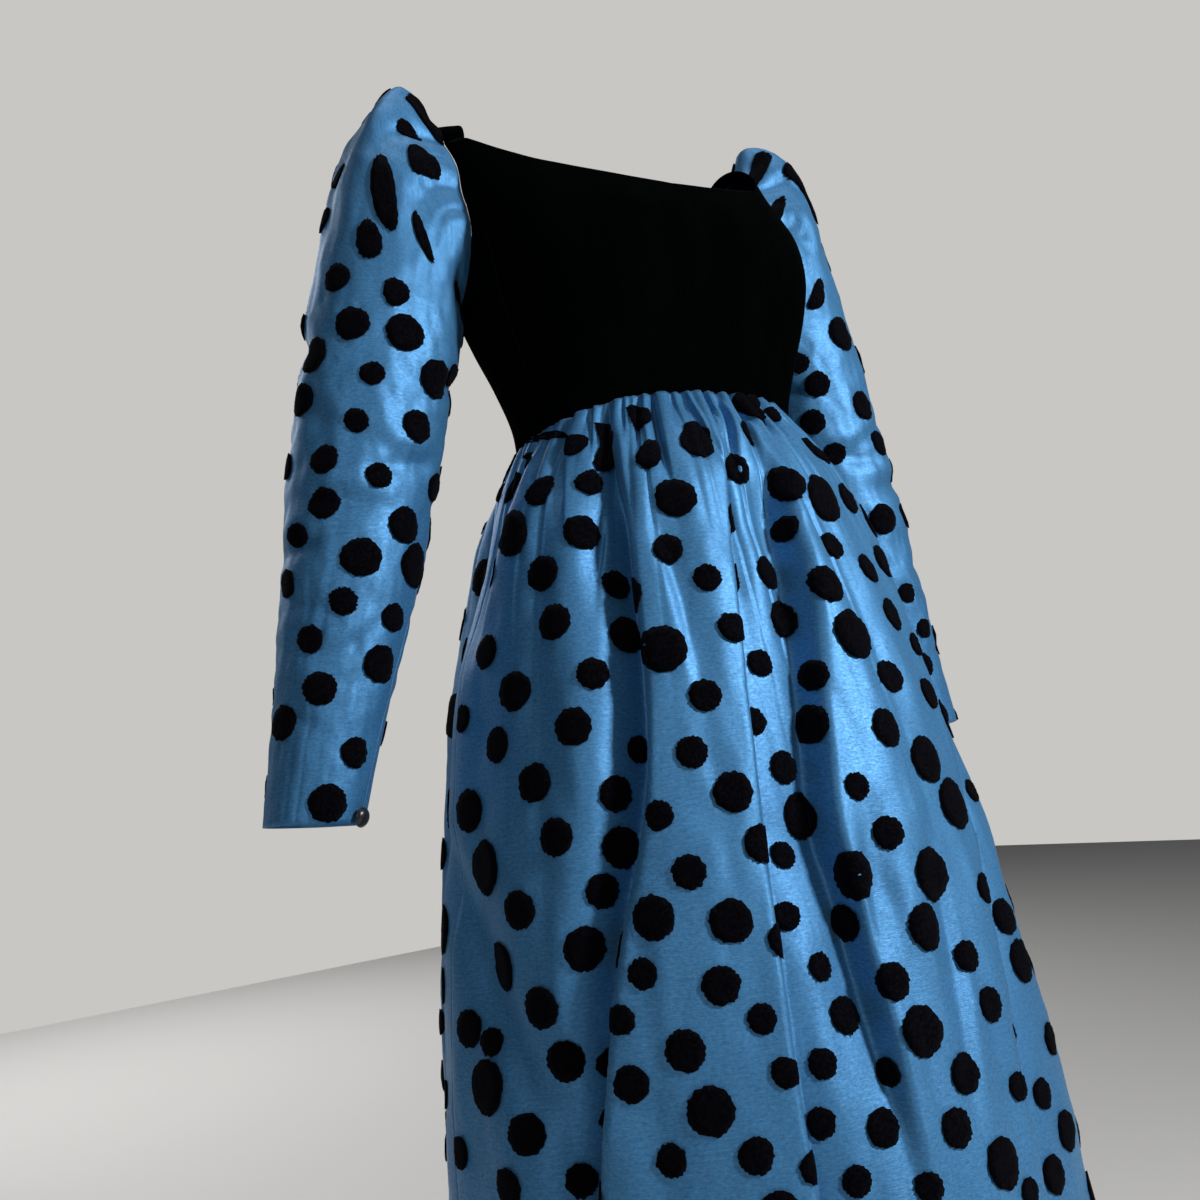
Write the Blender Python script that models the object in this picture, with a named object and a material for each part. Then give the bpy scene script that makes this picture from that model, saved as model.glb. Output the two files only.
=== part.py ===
"""Long-sleeved evening dress: a velvet bodice, puffed sleeves and a gathered taffeta skirt.

Metres, +Z up. The wearer's left is +X and the front faces -Y. The origin is the middle of
the line between the tops of the two shoulder straps, where the dress hangs.
Every cloth piece is a closed wall: an outer grid of points, the same grid moved in by the
cloth's thickness, and a rim that joins the two.
"""

import math
from collections import namedtuple

import bmesh
import bpy
import numpy as np

# ---- Driving dimensions -------------------------------------------------------------

VELVET_WALL = 0.0016
SLEEVE_WALL = 0.0014
SKIRT_WALL = 0.0018  # measured level; where gathers are steep the cloth is thinner
SEAM_GAP = 0.0003  # between neighbouring pieces

WAIST_HEIGHT = -0.2870  # the raised waist seam, at the front
WAIST_DIP = 0.0240  # the seam is this much lower at the sides and the back
CORNER_HEIGHT = -0.0300  # where the bodice's panels end and the straps begin
JOIN_HEIGHT = -0.0980  # where the side panels' seams run into the armhole
UNDERARM_HEIGHT = -0.1720
SLIT_LENGTH = 0.055  # of the cuff's opening
SLIT_GAP = 0.0012

# ---- Bodice -------------------------------------------------------------------------

TorsoSection = namedtuple(
    "TorsoSection", "height half_width front back centre_y squareness"
)
TORSO = (
    TorsoSection(-0.3150, 0.1330, 0.0970, 0.0925, -0.035, 2.10),
    TorsoSection(-0.2870, 0.1340, 0.0980, 0.0930, -0.035, 2.10),
    TorsoSection(-0.2450, 0.1450, 0.1100, 0.0970, -0.034, 2.20),
    TorsoSection(-0.2050, 0.1580, 0.1230, 0.1020, -0.031, 2.35),
    TorsoSection(-0.1650, 0.1670, 0.1310, 0.1070, -0.027, 2.50),
    TorsoSection(-0.1300, 0.1690, 0.1270, 0.1080, -0.022, 2.60),
    TorsoSection(-0.0950, 0.1700, 0.1080, 0.1030, -0.015, 2.75),
    TorsoSection(-0.0600, 0.1730, 0.0850, 0.0900, -0.008, 2.90),
    TorsoSection(-0.0300, 0.1745, 0.0690, 0.0720, -0.002, 3.00),
)

# Where the front and back panels end at the sides, in degrees from the front centre.
# Below the armhole it is the side-front and side-back seam, above it the armhole's edge.
PanelEdge = namedtuple("PanelEdge", "height front_angle back_angle")
PANEL_EDGE = (
    PanelEdge(-0.2870, 75.5, 121.0),
    PanelEdge(-0.2450, 77.0, 120.0),
    PanelEdge(-0.2050, 75.5, 120.0),
    PanelEdge(-0.1500, 73.0, 121.0),
    PanelEdge(-0.1180, 75.0, 120.0),
    PanelEdge(-0.0980, 78.0, 117.5),
    PanelEdge(-0.0550, 78.0, 107.0),
    PanelEdge(-0.0300, 80.7, 99.3),
)

# The neckline's height over the share of the panel's width, from the centre to the strap.
NeckPoint = namedtuple("NeckPoint", "share front_height back_height")
NECKLINE = (
    NeckPoint(0.000, -0.0915, -0.0800),
    NeckPoint(0.350, -0.0865, -0.0770),
    NeckPoint(0.600, -0.0755, -0.0680),
    NeckPoint(0.750, -0.0630, -0.0570),
    NeckPoint(0.860, -0.0460, -0.0430),
    NeckPoint(0.925, -0.0300, -0.0300),
)
STRAP_SHARE = 0.925  # the strap's inner edge, as a share of the panel's width

# ---- Sleeves ------------------------------------------------------------------------

# One row for each ring of the sleeve below the puffed head.
SleeveRing = namedtuple("SleeveRing", "height x y across along tilt")
SLEEVE = (
    SleeveRing(-0.172, 0.226, 0.005, 0.0640, 0.0620, 0.030),
    SleeveRing(-0.230, 0.239, 0.008, 0.0650, 0.0620, 0.018),
    SleeveRing(-0.290, 0.252, 0.010, 0.0635, 0.0600, 0.008),
    SleeveRing(-0.345, 0.264, 0.012, 0.0610, 0.0580, 0.002),
    SleeveRing(-0.400, 0.276, 0.013, 0.0575, 0.0550, 0.000),
    SleeveRing(-0.460, 0.291, 0.014, 0.0510, 0.0510, 0.000),
    SleeveRing(-0.525, 0.308, 0.016, 0.0440, 0.0460, 0.003),
    SleeveRing(-0.597, 0.327, 0.018, 0.0380, 0.0400, 0.008),
)
# How far each sleeve lies from the table above, and how strongly its head is puffed up.
ArmHang = namedtuple("ArmHang", "out up puff lift")
ARM_HANGS = {
    "left": ArmHang(-0.019, 0.014, 0.056, 0.022),
    "right": ArmHang(0.004, 0.0, 0.066, 0.006),
}
SEAM_TURN_TOP = 0.0  # degrees the under seam has turned forward at the head
SEAM_TURN_CUFF = 42.0  # and at the cuff
BODICE_CLEARANCE = 0.0050  # the sleeve's inner side flattens this far from the bodice
SOFTNESS = 0.0035
CAP_PLEATS = 12
CAP_PLEAT_DEPTH = 0.0030

# Soft creases pressed into the sleeve, signed by how far they push in or out.
SleeveCrease = namedtuple("SleeveCrease", "angle height slant half_angle half_height depth")
SLEEVE_CREASES = (
    SleeveCrease(30.0, -0.355, 0.20, 34.0, 0.010, 0.0050),
    SleeveCrease(70.0, -0.385, -0.15, 30.0, 0.009, 0.0040),
    SleeveCrease(-20.0, -0.325, -0.20, 28.0, 0.010, 0.0040),
    SleeveCrease(170.0, -0.350, 0.10, 40.0, 0.012, 0.0045),
    SleeveCrease(100.0, -0.210, 0.45, 26.0, 0.011, 0.0045),
    SleeveCrease(-60.0, -0.240, -0.40, 26.0, 0.012, 0.0040),
)

# ---- Cuff fastening -----------------------------------------------------------------

ButtonStep = namedtuple("ButtonStep", "lift radius")
BUTTON_PROFILE = (
    ButtonStep(0.0003, 0.0022),
    ButtonStep(0.0024, 0.0022),
    ButtonStep(0.0027, 0.0070),
    ButtonStep(0.0034, 0.0078),
    ButtonStep(0.0050, 0.0076),
    ButtonStep(0.0070, 0.0058),
    ButtonStep(0.0083, 0.0028),
)
BUTTON_TOP = 0.0087
BUTTON_SIDES = 16
BUTTON_ACROSS = 0.0070  # from the slit
BUTTON_ALONG = 0.0050  # up from the cuff's edge
CUFF_ROUND = 0.2450
LOOP_RADIUS = 0.0033
LOOP_THREAD = 0.0006  # the thread's radius
LOOP_ANCHOR = -0.0060  # from the slit, on the other side

# ---- Skirt --------------------------------------------------------------------------

# The skirt's outer envelope, which the crests of its folds touch.
SkirtSection = namedtuple("SkirtSection", "height half_width half_depth centre_y")
SKIRT = (
    SkirtSection(-0.2873, 0.1350, 0.0990, -0.035),
    SkirtSection(-0.3050, 0.1450, 0.1120, -0.034),
    SkirtSection(-0.3300, 0.1590, 0.1290, -0.033),
    SkirtSection(-0.3600, 0.1730, 0.1460, -0.032),
    SkirtSection(-0.4250, 0.1950, 0.1690, -0.031),
    SkirtSection(-0.5000, 0.2150, 0.1900, -0.030),
    SkirtSection(-0.6200, 0.2370, 0.2130, -0.030),
    SkirtSection(-0.7800, 0.2580, 0.2340, -0.030),
    SkirtSection(-0.9500, 0.2680, 0.2480, -0.030),
    SkirtSection(-1.1800, 0.2840, 0.2660, -0.030),
    SkirtSection(-1.4000, 0.3020, 0.2860, -0.030),
)
GATHERS = 60  # round the waist seam
GATHER_DEPTH = 0.0052
GATHER_COLUMNS = 4  # for each gather

# The larger folds below the gathers: each is a hollow that starts at the waist at one
# angle, in degrees from the front centre, and drifts round by another before the hem.
SkirtFold = namedtuple("SkirtFold", "waist_angle drift half_angle depth start_height")
SKIRT_FOLDS = (
    SkirtFold(-41.0, -23.0, 7.0, 0.030, -0.330),
    SkirtFold(-4.0, -41.0, 3.5, 0.011, -0.300),
    SkirtFold(14.0, -60.0, 7.5, 0.022, -0.330),
    SkirtFold(50.0, -60.0, 6.0, 0.018, -0.400),
    SkirtFold(-68.0, -20.0, 6.0, 0.018, -0.330),
    SkirtFold(-92.0, -18.0, 7.0, 0.020, -0.330),
    SkirtFold(76.0, -50.0, 7.0, 0.020, -0.340),
    SkirtFold(101.0, -30.0, 7.0, 0.022, -0.350),
    SkirtFold(124.0, -20.0, 8.0, 0.024, -0.340),
    SkirtFold(147.0, -10.0, 7.0, 0.020, -0.360),
    SkirtFold(171.0, -5.0, 7.0, 0.024, -0.340),
    SkirtFold(-117.0, -14.0, 8.0, 0.022, -0.350),
    SkirtFold(-142.0, -10.0, 7.0, 0.024, -0.340),
    SkirtFold(-166.0, -6.0, 8.0, 0.020, -0.350),
)


def table_column(rows, name):
    return np.array([getattr(row, name) for row in rows], float)


def smooth_rows(rows, key, name, at):
    """A smooth curve through a table's column, read at values of its key column."""
    places = table_column(rows, key)
    values = table_column(rows, name)
    if places[0] > places[-1]:
        places, values = places[::-1], values[::-1]
    slopes = np.gradient(values, places)
    at = np.clip(np.asarray(at, float), places[0], places[-1])
    i = np.clip(np.searchsorted(places, at) - 1, 0, len(places) - 2)
    step = places[i + 1] - places[i]
    u = (at - places[i]) / step
    return (
        values[i] * (1 + 2 * u) * (1 - u) ** 2
        + slopes[i] * step * u * (1 - u) ** 2
        + values[i + 1] * u * u * (3 - 2 * u)
        + slopes[i + 1] * step * u * u * (u - 1)
    )


def unit(vectors):
    return vectors / np.linalg.norm(vectors, axis=-1, keepdims=True)


def fade(value, start, end):
    """0 at the start, 1 at the end, smooth between."""
    u = np.clip((value - start) / (end - start), 0, 1)
    return u * u * (3 - 2 * u)


def section_radius(angle, half_width, front, back, squareness):
    """Distance from a rounded section's centre to its edge, from the front centre round."""
    across = np.abs(np.sin(angle)) / half_width
    along = np.abs(np.cos(angle)) / np.where(np.cos(angle) > 0, front, back)
    return (across**squareness + along**squareness) ** (-1 / squareness)


def section_point(angle, radius, centre_y, height):
    return np.stack(
        np.broadcast_arrays(
            radius * np.sin(angle), centre_y - radius * np.cos(angle), height
        ),
        axis=-1,
    )


def surface_normals(surface, first, second, tiny=1e-4):
    """Unit normals of a surface of two parameters, from small steps along each."""
    along_first = surface(first + tiny, second) - surface(first - tiny, second)
    along_second = surface(first, second + tiny) - surface(first, second - tiny)
    return unit(np.cross(along_first, along_second))


# ---- The bodice's surface and its seams ---------------------------------------------


def torso_point(angle, height):
    """Points of the bodice's outer surface, at angles in radians from the front centre."""
    half_width, front, back, centre_y, squareness = (
        smooth_rows(TORSO, "height", name, height) for name in TorsoSection._fields[1:]
    )
    radius = section_radius(angle, half_width, front, back, squareness)
    return section_point(angle, radius, centre_y, height)


def torso_normal(angle, height):
    inside = np.clip(height, TORSO[0].height + 2e-4, TORSO[-1].height - 2e-4)
    return surface_normals(torso_point, angle, inside)


def edge_angle(height, edge):
    """The angle of a panel's side edge, where edge is "front_angle" or "back_angle"."""
    return np.radians(smooth_rows(PANEL_EDGE, "height", edge, height))


def angle_for(length, angle, height):
    """The turn that moves a point of the bodice's surface round by a length."""
    ahead = torso_point(angle + 1e-4, height) - torso_point(angle - 1e-4, height)
    return length * 2e-4 / np.linalg.norm(ahead, axis=-1)


def neckline_height(share, panel):
    """The top of a front or back panel over its width."""
    inside = smooth_rows(NECKLINE, "share", panel, np.abs(share))
    return np.where(np.abs(share) >= STRAP_SHARE, CORNER_HEIGHT, inside)


def underarm_height(share):
    """The top of a side panel over its width, which is the bottom of the armhole."""
    return UNDERARM_HEIGHT + (JOIN_HEIGHT - UNDERARM_HEIGHT) * np.abs(share) ** 2.1


def waist_dip(angle):
    """How much lower the waist seam is than at the front."""
    from_front = np.abs((angle + math.pi) % (2 * math.pi) - math.pi)
    return WAIST_DIP * fade(from_front, math.radians(30), math.radians(115))


LOW_ROWS = 6  # of the bodice's grids, from the waist to the armhole's join
HIGH_ROWS = 4  # from there to the corner
LOW_LEVELS = np.linspace(0, 1, LOW_ROWS)
EDGE_HEIGHTS = np.concatenate(
    [
        WAIST_HEIGHT + (JOIN_HEIGHT - WAIST_HEIGHT) * LOW_LEVELS,
        np.linspace(JOIN_HEIGHT, CORNER_HEIGHT, HIGH_ROWS)[1:],
    ]
)
PANEL_LEVELS = (EDGE_HEIGHTS - WAIST_HEIGHT) / (CORNER_HEIGHT - WAIST_HEIGHT)
FRONT_SHARES = np.array([0.0, 0.12, 0.24, 0.36, 0.48, 0.6, 0.7, 0.79, 0.86, 0.925, 0.963, 1.0])
SIDE_SHARES = np.array([-1.0, -0.9, -0.7, -0.4, 0.0, 0.4, 0.7, 0.9, 1.0])


def panel_point(share, level, start, end, top):
    """The angle and height of a panel's grid point; start and end are its side seams."""
    height = WAIST_HEIGHT + (top(share) - WAIST_HEIGHT) * level
    lower, upper = start(height), end(height)
    gap = angle_for(SEAM_GAP / 2, lower, height)
    lower, upper = lower + gap, upper - gap
    angle = lower + (upper - lower) * (share + 1) / 2
    low = np.clip((JOIN_HEIGHT - height) / (JOIN_HEIGHT - WAIST_HEIGHT), 0, 1)
    dip = waist_dip(angle) * low**2
    return angle, height - dip


def panel_grids(shares, levels, start, end, top):
    """The outer and inner grids of a bodice panel, whose shares run from -1 to 1."""
    level, share = np.meshgrid(levels, shares, indexing="ij")
    angle, height = panel_point(share, level, start, end, top)
    outer = torso_point(angle, height)
    return outer, outer - torso_normal(angle, height) * VELVET_WALL


def strap_patch(share, u, gap=0.0):
    """The left shoulder strap, from the front corner (u = 0) over to the back (u = 1)."""
    front_angle = strap_angle(share, "front_angle")
    back_angle = strap_angle(share, "back_angle")
    height = np.full_like(front_angle, CORNER_HEIGHT)
    ends = []
    for angle in (front_angle, back_angle):
        point = torso_point(angle, height)
        below = torso_point(angle, height - 1e-3)
        climb = unit(point - below)
        ends.append((point + climb * gap, climb))
    (first, first_climb), (last, last_climb) = ends
    lift = -CORNER_HEIGHT / 0.75 / ((first_climb + last_climb)[..., 2:] / 2)
    second = first + first_climb * lift
    third = last + last_climb * lift
    u = np.asarray(u, float)[..., None]
    return (
        first * (1 - u) ** 3
        + 3 * second * u * (1 - u) ** 2
        + 3 * third * u * u * (1 - u)
        + last * u**3
    )


def strap_angle(share, edge):
    """The angle of a strap's end over its width: 1 is the armhole's edge."""
    height = np.full_like(np.asarray(share, float), CORNER_HEIGHT)
    edge_at = edge_angle(height, edge)
    gap = angle_for(SEAM_GAP / 2, edge_at, height)
    if edge == "front_angle":
        return share * (edge_at - gap)
    return math.pi - share * (math.pi - edge_at - gap)


def strap_normal(share, u):
    return surface_normals(strap_patch, share, u)


def armhole_loop(count):
    """The left armhole's edge, evenly spaced from the underarm up the front and back down.

    Returns the points and, at each, the bodice's outward normal and the direction across
    the edge into the opening.
    """
    fine = 160
    ramp = np.linspace(0, 1, fine)
    under = ramp[1:]
    pieces = []
    for sign, edge in ((-1, "front_angle"), (1, "back_angle")):
        share = sign * under
        height = underarm_height(share)
        front = edge_angle(height, "front_angle")
        back = edge_angle(height, "back_angle")
        angle = front + (back - front) * (share + 1) / 2
        low = (torso_point(angle, height), torso_normal(angle, height))
        height = JOIN_HEIGHT + (CORNER_HEIGHT - JOIN_HEIGHT) * ramp[1:]
        angle = edge_angle(height, edge)
        high = (torso_point(angle, height), torso_normal(angle, height))
        pieces.append([np.concatenate([low[k], high[k]]) for k in (0, 1)])
    over = ramp[1:-1]
    ones = np.ones_like(over)
    strap = (strap_patch(ones, over), strap_normal(ones, over))
    (front_points, front_normals), (back_points, back_normals) = pieces
    base_angle = (edge_angle(UNDERARM_HEIGHT, "front_angle")
                  + edge_angle(UNDERARM_HEIGHT, "back_angle")) / 2
    base = torso_point(base_angle, UNDERARM_HEIGHT)[None]
    base_normal = torso_normal(base_angle, UNDERARM_HEIGHT)[None]
    points = np.concatenate([base, front_points, strap[0], back_points[::-1], base])
    normals = np.concatenate(
        [base_normal, front_normals, strap[1], back_normals[::-1], base_normal]
    )
    lengths = np.concatenate([[0], np.cumsum(np.linalg.norm(np.diff(points, axis=0), axis=1))])
    at = np.linspace(0, lengths[-1], count)
    points = np.stack([np.interp(at, lengths, points[:, k]) for k in range(3)], axis=-1)
    normals = unit(
        np.stack([np.interp(at, lengths, normals[:, k]) for k in range(3)], axis=-1)
    )
    ahead = np.gradient(points, axis=0)
    ahead[0] = ahead[-1] = points[1] - points[-2]
    into = unit(np.cross(unit(ahead), normals))
    return points, normals, into


# ---- The sleeve's surface -----------------------------------------------------------

LOOP = armhole_loop(721)


def loop_at(v, k):
    """Values along the armhole's edge: k is 0 for points, 1 for normals, 2 for into."""
    place = np.clip(v, 0, 1) * (len(LOOP[k]) - 1)
    i = np.clip(place.astype(int), 0, len(LOOP[k]) - 2)
    share = (place - i)[..., None]
    return LOOP[k][i] * (1 - share) + LOOP[k][i + 1] * share


def ring_angle(v, height):
    """The angle round the arm of a place on the loop, from the front round to outside.

    The under seam is at v = 0 and 1. It faces the body at the head and turns forward
    on the way to the cuff.
    """
    turn = np.radians(
        SEAM_TURN_TOP
        + (SEAM_TURN_CUFF - SEAM_TURN_TOP)
        * fade(-height, -SLEEVE[0].height, -SLEEVE[-1].height)
    )
    return -math.pi / 2 + turn * np.cos(math.pi * v) ** 2 + 2 * math.pi * v


def arm_point(v, height, hang):
    """Points of a left sleeve below its head, before creases."""
    x, y, across, along, tilt = (
        smooth_rows(SLEEVE, "height", name, height) for name in SleeveRing._fields[1:]
    )
    angle = ring_angle(v, height)
    x = x + hang.out + across * np.sin(angle)
    z = height + hang.up + tilt * (np.sin(angle) - 1) / 2
    limit = smooth_rows(TORSO, "height", "half_width", z) + BODICE_CLEARANCE
    x = limit + SOFTNESS * np.logaddexp(0, (x - limit) / SOFTNESS)
    return np.stack([x, y - along * np.cos(angle), z], axis=-1)


def crease_push(v, height):
    angle = np.degrees(ring_angle(v, height))
    push = np.zeros_like(angle)
    for crease in SLEEVE_CREASES:
        turn = (angle - crease.angle + 180) % 360 - 180
        line = crease.height + crease.slant * np.radians(turn) * 0.06
        push -= crease.depth * np.exp(
            -((turn / crease.half_angle) ** 2) - ((height - line) / crease.half_height) ** 2
        )
    return push


def head_point(v, u, hang):
    """Points of the sleeve's puffed head: u runs from the armhole to the bicep ring."""
    start = loop_at(v, 0) + loop_at(v, 2) * SEAM_GAP
    top = np.sin(math.pi * v)[..., None] ** 2  # 1 at the shoulder, 0 under the arm
    aim = unit(loop_at(v, 1) + loop_at(v, 2) * (0.47 * top - 0.22))
    end = arm_point(v, np.full_like(v, SLEEVE[0].height), hang)
    below = arm_point(v, np.full_like(v, SLEEVE[1].height), hang)
    down = unit(below - end)
    second = start + aim * (0.012 + hang.puff * top)
    second = second + np.array([0.0, 0.0, hang.lift]) * top
    third = end - down * (0.012 + 0.165 * top**2)
    u = u[..., None]
    return (
        start * (1 - u) ** 3
        + 3 * second * u * (1 - u) ** 2
        + 3 * third * u * u * (1 - u)
        + end * u**3
    )


PLEATED_ROWS = 5  # of the head, which are twice as fine as the rest
HEAD_LEVELS = (0.0, 0.05, 0.13, 0.24, 0.37, 0.52, 0.68, 0.84)
ARM_HEIGHTS = tuple(np.linspace(SLEEVE[0].height, SLEEVE[-1].height, 10))


def sleeve_base(v, row, hang):
    """Row 0 is at the armhole; the rows of the head come first, then those of the arm."""
    row = np.asarray(row, float)
    head_rows = len(HEAD_LEVELS)
    if np.all(row < head_rows):
        level = np.interp(row, np.arange(head_rows + 1), (*HEAD_LEVELS, 1.0))
        return head_point(v, level, hang)
    height = np.interp(row - head_rows, np.arange(len(ARM_HEIGHTS)), ARM_HEIGHTS)
    return arm_point(v, height, hang)


def sleeve_grid(row, columns, hang):
    """One row of the sleeve: its outer and inner points."""
    v = np.linspace(0, 1, columns)
    outer = sleeve_base(v, row, hang)
    round_arm = sleeve_base(np.clip(v + 1e-3, 0, 1), row, hang)
    round_arm = unit(round_arm - sleeve_base(np.clip(v - 1e-3, 0, 1), row, hang))
    near = min(row + 0.02, len(HEAD_LEVELS) + len(ARM_HEIGHTS) - 1)
    down_arm = sleeve_base(v, near, hang) - sleeve_base(v, near - 0.02, hang)
    normal = unit(np.cross(down_arm, round_arm))
    head_rows = len(HEAD_LEVELS)
    if row < head_rows:
        level = HEAD_LEVELS[int(row)]
        top = fade(np.sin(math.pi * v) ** 2, 0.12, 0.45)
        strength = (0.12 + level / 0.1 * math.exp(1 - level / 0.1)) * top
        pleat = (1 - np.cos(2 * math.pi * CAP_PLEATS * pleat_phase(v))) / 2
        outer = outer - normal * (CAP_PLEAT_DEPTH * strength * pleat)[:, None]
    else:
        height = ARM_HEIGHTS[int(row) - head_rows]
        outer = outer + normal * crease_push(v, np.full_like(v, height))[:, None]
        spread = SLIT_GAP * fade(-height, -ARM_HEIGHTS[-1] - SLIT_LENGTH, -ARM_HEIGHTS[-1])
    gap = SEAM_GAP if row < head_rows else SEAM_GAP + spread
    shift = np.zeros(columns)
    shift[0], shift[-1] = gap / 2, -gap / 2
    outer = outer + round_arm * shift[:, None]
    inner = outer - normal * SLEEVE_WALL
    return outer, inner


def pleat_phase(v):
    """Where each place on the loop falls among the pleats of the sleeve's head."""
    start, end = 0.5 - 0.36, 0.5 + 0.36
    return np.clip((v - start) / (end - start), 0, 1)


# ---- The skirt's surface ------------------------------------------------------------


def skirt_envelope(angle, height):
    half_width, half_depth, centre_y = (
        smooth_rows(SKIRT, "height", name, height) for name in SkirtSection._fields[1:]
    )
    radius = section_radius(angle, half_width, half_depth, half_depth, 2.0)
    return radius, centre_y


def gather_hollow(angle, height):
    """How far the small gathers hollow the skirt: deepest just below the waist seam."""
    turns = angle / (2 * math.pi) * GATHERS
    valley = (1 - np.cos(2 * math.pi * turns)) / 2
    number = np.floor(turns)
    vary = 0.5 + 0.5 * np.sin(number * 2.4 + 1.3 * np.sin(number * 1.7))
    below = WAIST_HEIGHT - height
    rise = 0.7 + 0.3 * fade(below, 0.0, 0.02)
    length = 0.05 + 0.11 * vary
    decay = np.exp(-((below / length) ** 2))
    return GATHER_DEPTH * (0.65 + 0.35 * vary) * valley * rise * decay


def medium_hollow(angle, height):
    """Uneven folds about a hand wide that gather the small ones together."""
    degrees = np.degrees(angle)
    below = WAIST_HEIGHT - height
    wander = 0.35 * np.sin(3 * angle + 0.6) + 0.25 * np.sin(7 * angle + 2.0)
    wave = 0.5 + 0.5 * np.cos(22 * angle + wander + 0.5 * below * np.sin(2 * angle))
    strength = fade(below, 0.0, 0.14) * (1 - 0.55 * fade(below, 0.25, 1.1))
    swell = 0.65 + 0.35 * np.sin(5 * np.radians(degrees) + 1.0)
    return 0.0095 * wave * strength * swell


def fold_hollow(angle, height):
    degrees = np.degrees(angle)
    hollow = np.zeros_like(degrees)
    for fold in SKIRT_FOLDS:
        share = (WAIST_HEIGHT - height) / (WAIST_HEIGHT - SKIRT[-1].height)
        centre = fold.waist_angle + fold.drift * share
        turn = (degrees - centre + 180) % 360 - 180
        grow = fade(-height, -fold.start_height, -fold.start_height + 0.35)
        hollow += fold.depth * grow * np.exp(-((turn / fold.half_angle) ** 2))
    return hollow


def skirt_point(angle, height, wall=0.0):
    radius, centre_y = skirt_envelope(angle, height)
    hollow = gather_hollow(angle, height) + medium_hollow(angle, height)
    radius = radius - hollow - fold_hollow(angle, height) - wall
    dip = waist_dip(angle) * (1 - fade(-height, -WAIST_HEIGHT, -WAIST_HEIGHT + 0.13))
    return section_point(angle, radius, centre_y, height - dip)


SKIRT_TOP_HEIGHTS = (SKIRT[0].height, -0.2965, -0.3090, -0.3310)
SKIRT_LOW_HEIGHTS = (
    -0.360, -0.402, -0.458, -0.530, -0.620, -0.730, -0.860, -1.030, -1.210, -1.400
)


# ---- The cuff's fastening ------------------------------------------------------------


def cuff_point(across, along, lift, hang):
    """A point off the cuff's outer surface, by lengths from the slit's lower end.

    Across is positive on the button's side of the slit, along is up the arm.
    """
    height = ARM_HEIGHTS[-1] + along
    v = across / CUFF_ROUND
    start = arm_point(np.array(v % 1.0), np.array(height), hang)
    ahead = arm_point(np.array((v + 1e-3) % 1.0), np.array(height), hang)
    above = arm_point(np.array(v % 1.0), np.array(height + 1e-3), hang)
    return start + unit(np.cross(start - above, ahead - start)) * lift


def button_rings(hang):
    """Rings of points of the domed button, from the foot of its neck to its top."""
    centre = cuff_point(BUTTON_ACROSS, BUTTON_ALONG, 0.0, hang)
    outward = unit(cuff_point(BUTTON_ACROSS, BUTTON_ALONG, 1e-3, hang) - centre)
    up = np.array([0.0, 0.0, 1.0])
    first = unit(up - outward * (up @ outward))
    second = np.cross(outward, first)
    turn = np.linspace(0, 2 * math.pi, BUTTON_SIDES, endpoint=False)[:, None]
    ring = first * np.cos(turn) + second * np.sin(turn)
    return [centre + outward * step.lift + ring * step.radius for step in BUTTON_PROFILE]


def loop_path(hang):
    """The thread loop's middle: out from one side of the slit, round the neck and back."""
    turn = np.linspace(-0.5 * math.pi, 0.5 * math.pi, 9)
    path = [(LOOP_ANCHOR, -LOOP_RADIUS), (LOOP_ANCHOR / 2, -LOOP_RADIUS)]
    path += [(BUTTON_ACROSS + LOOP_RADIUS * math.cos(a), LOOP_RADIUS * math.sin(a)) for a in turn]
    path += [(LOOP_ANCHOR / 2, LOOP_RADIUS), (LOOP_ANCHOR, LOOP_RADIUS)]
    lift = SEAM_GAP + LOOP_THREAD + 0.0003
    return np.array([cuff_point(x, BUTTON_ALONG + z, lift, hang) for x, z in path])


# ---- Turning grids of points into closed walls --------------------------------------


def link_rows(shell, first, second, closed_round):
    """Faces between two rows of points, the second as long as the first or half of it."""
    faces = []
    if len(first) == len(second):
        last = len(first) if closed_round else len(first) - 1
        for j in range(last):
            k = (j + 1) % len(first)
            faces.append((first[j], first[k], second[k], second[j]))
    else:
        for j in range(len(second) - 1):
            a, b, c = first[2 * j], first[2 * j + 1], first[2 * j + 2]
            d, e = second[j], second[j + 1]
            faces += [(a, b, d), (b, e, d), (b, c, e)]
    for face in faces:
        shell.faces.new(face)


def wall_mesh(name, outer_rows, inner_rows, closed_round=False):
    """A closed wall between two lists of rows of points."""
    mesh = bpy.data.meshes.new(name)
    shell = bmesh.new()
    layers = [
        [[shell.verts.new(point) for point in row] for row in rows]
        for rows in (outer_rows, inner_rows)
    ]
    for layer in layers:
        for first, second in zip(layer, layer[1:]):
            link_rows(shell, first, second, closed_round)
    outer, inner = layers
    for i in (0, -1):
        link_rows(shell, outer[i], inner[i], closed_round)
    if not closed_round:
        for j in (0, -1):
            link_rows(shell, [row[j] for row in outer], [row[j] for row in inner], False)
    bmesh.ops.recalc_face_normals(shell, faces=shell.faces)
    shell.to_mesh(mesh)
    shell.free()
    return mesh


def lathe_mesh(name, rings, top):
    """A closed solid from rings of points, flat at the foot and pointed at the top."""
    mesh = bpy.data.meshes.new(name)
    solid = bmesh.new()
    layers = [[solid.verts.new(point) for point in ring] for ring in rings]
    for first, second in zip(layers, layers[1:]):
        link_rows(solid, first, second, True)
    solid.faces.new(layers[0])
    peak = solid.verts.new(top)
    for j, corner in enumerate(layers[-1]):
        solid.faces.new((corner, layers[-1][(j + 1) % len(layers[-1])], peak))
    bmesh.ops.recalc_face_normals(solid, faces=solid.faces)
    solid.to_mesh(mesh)
    solid.free()
    return mesh


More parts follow.
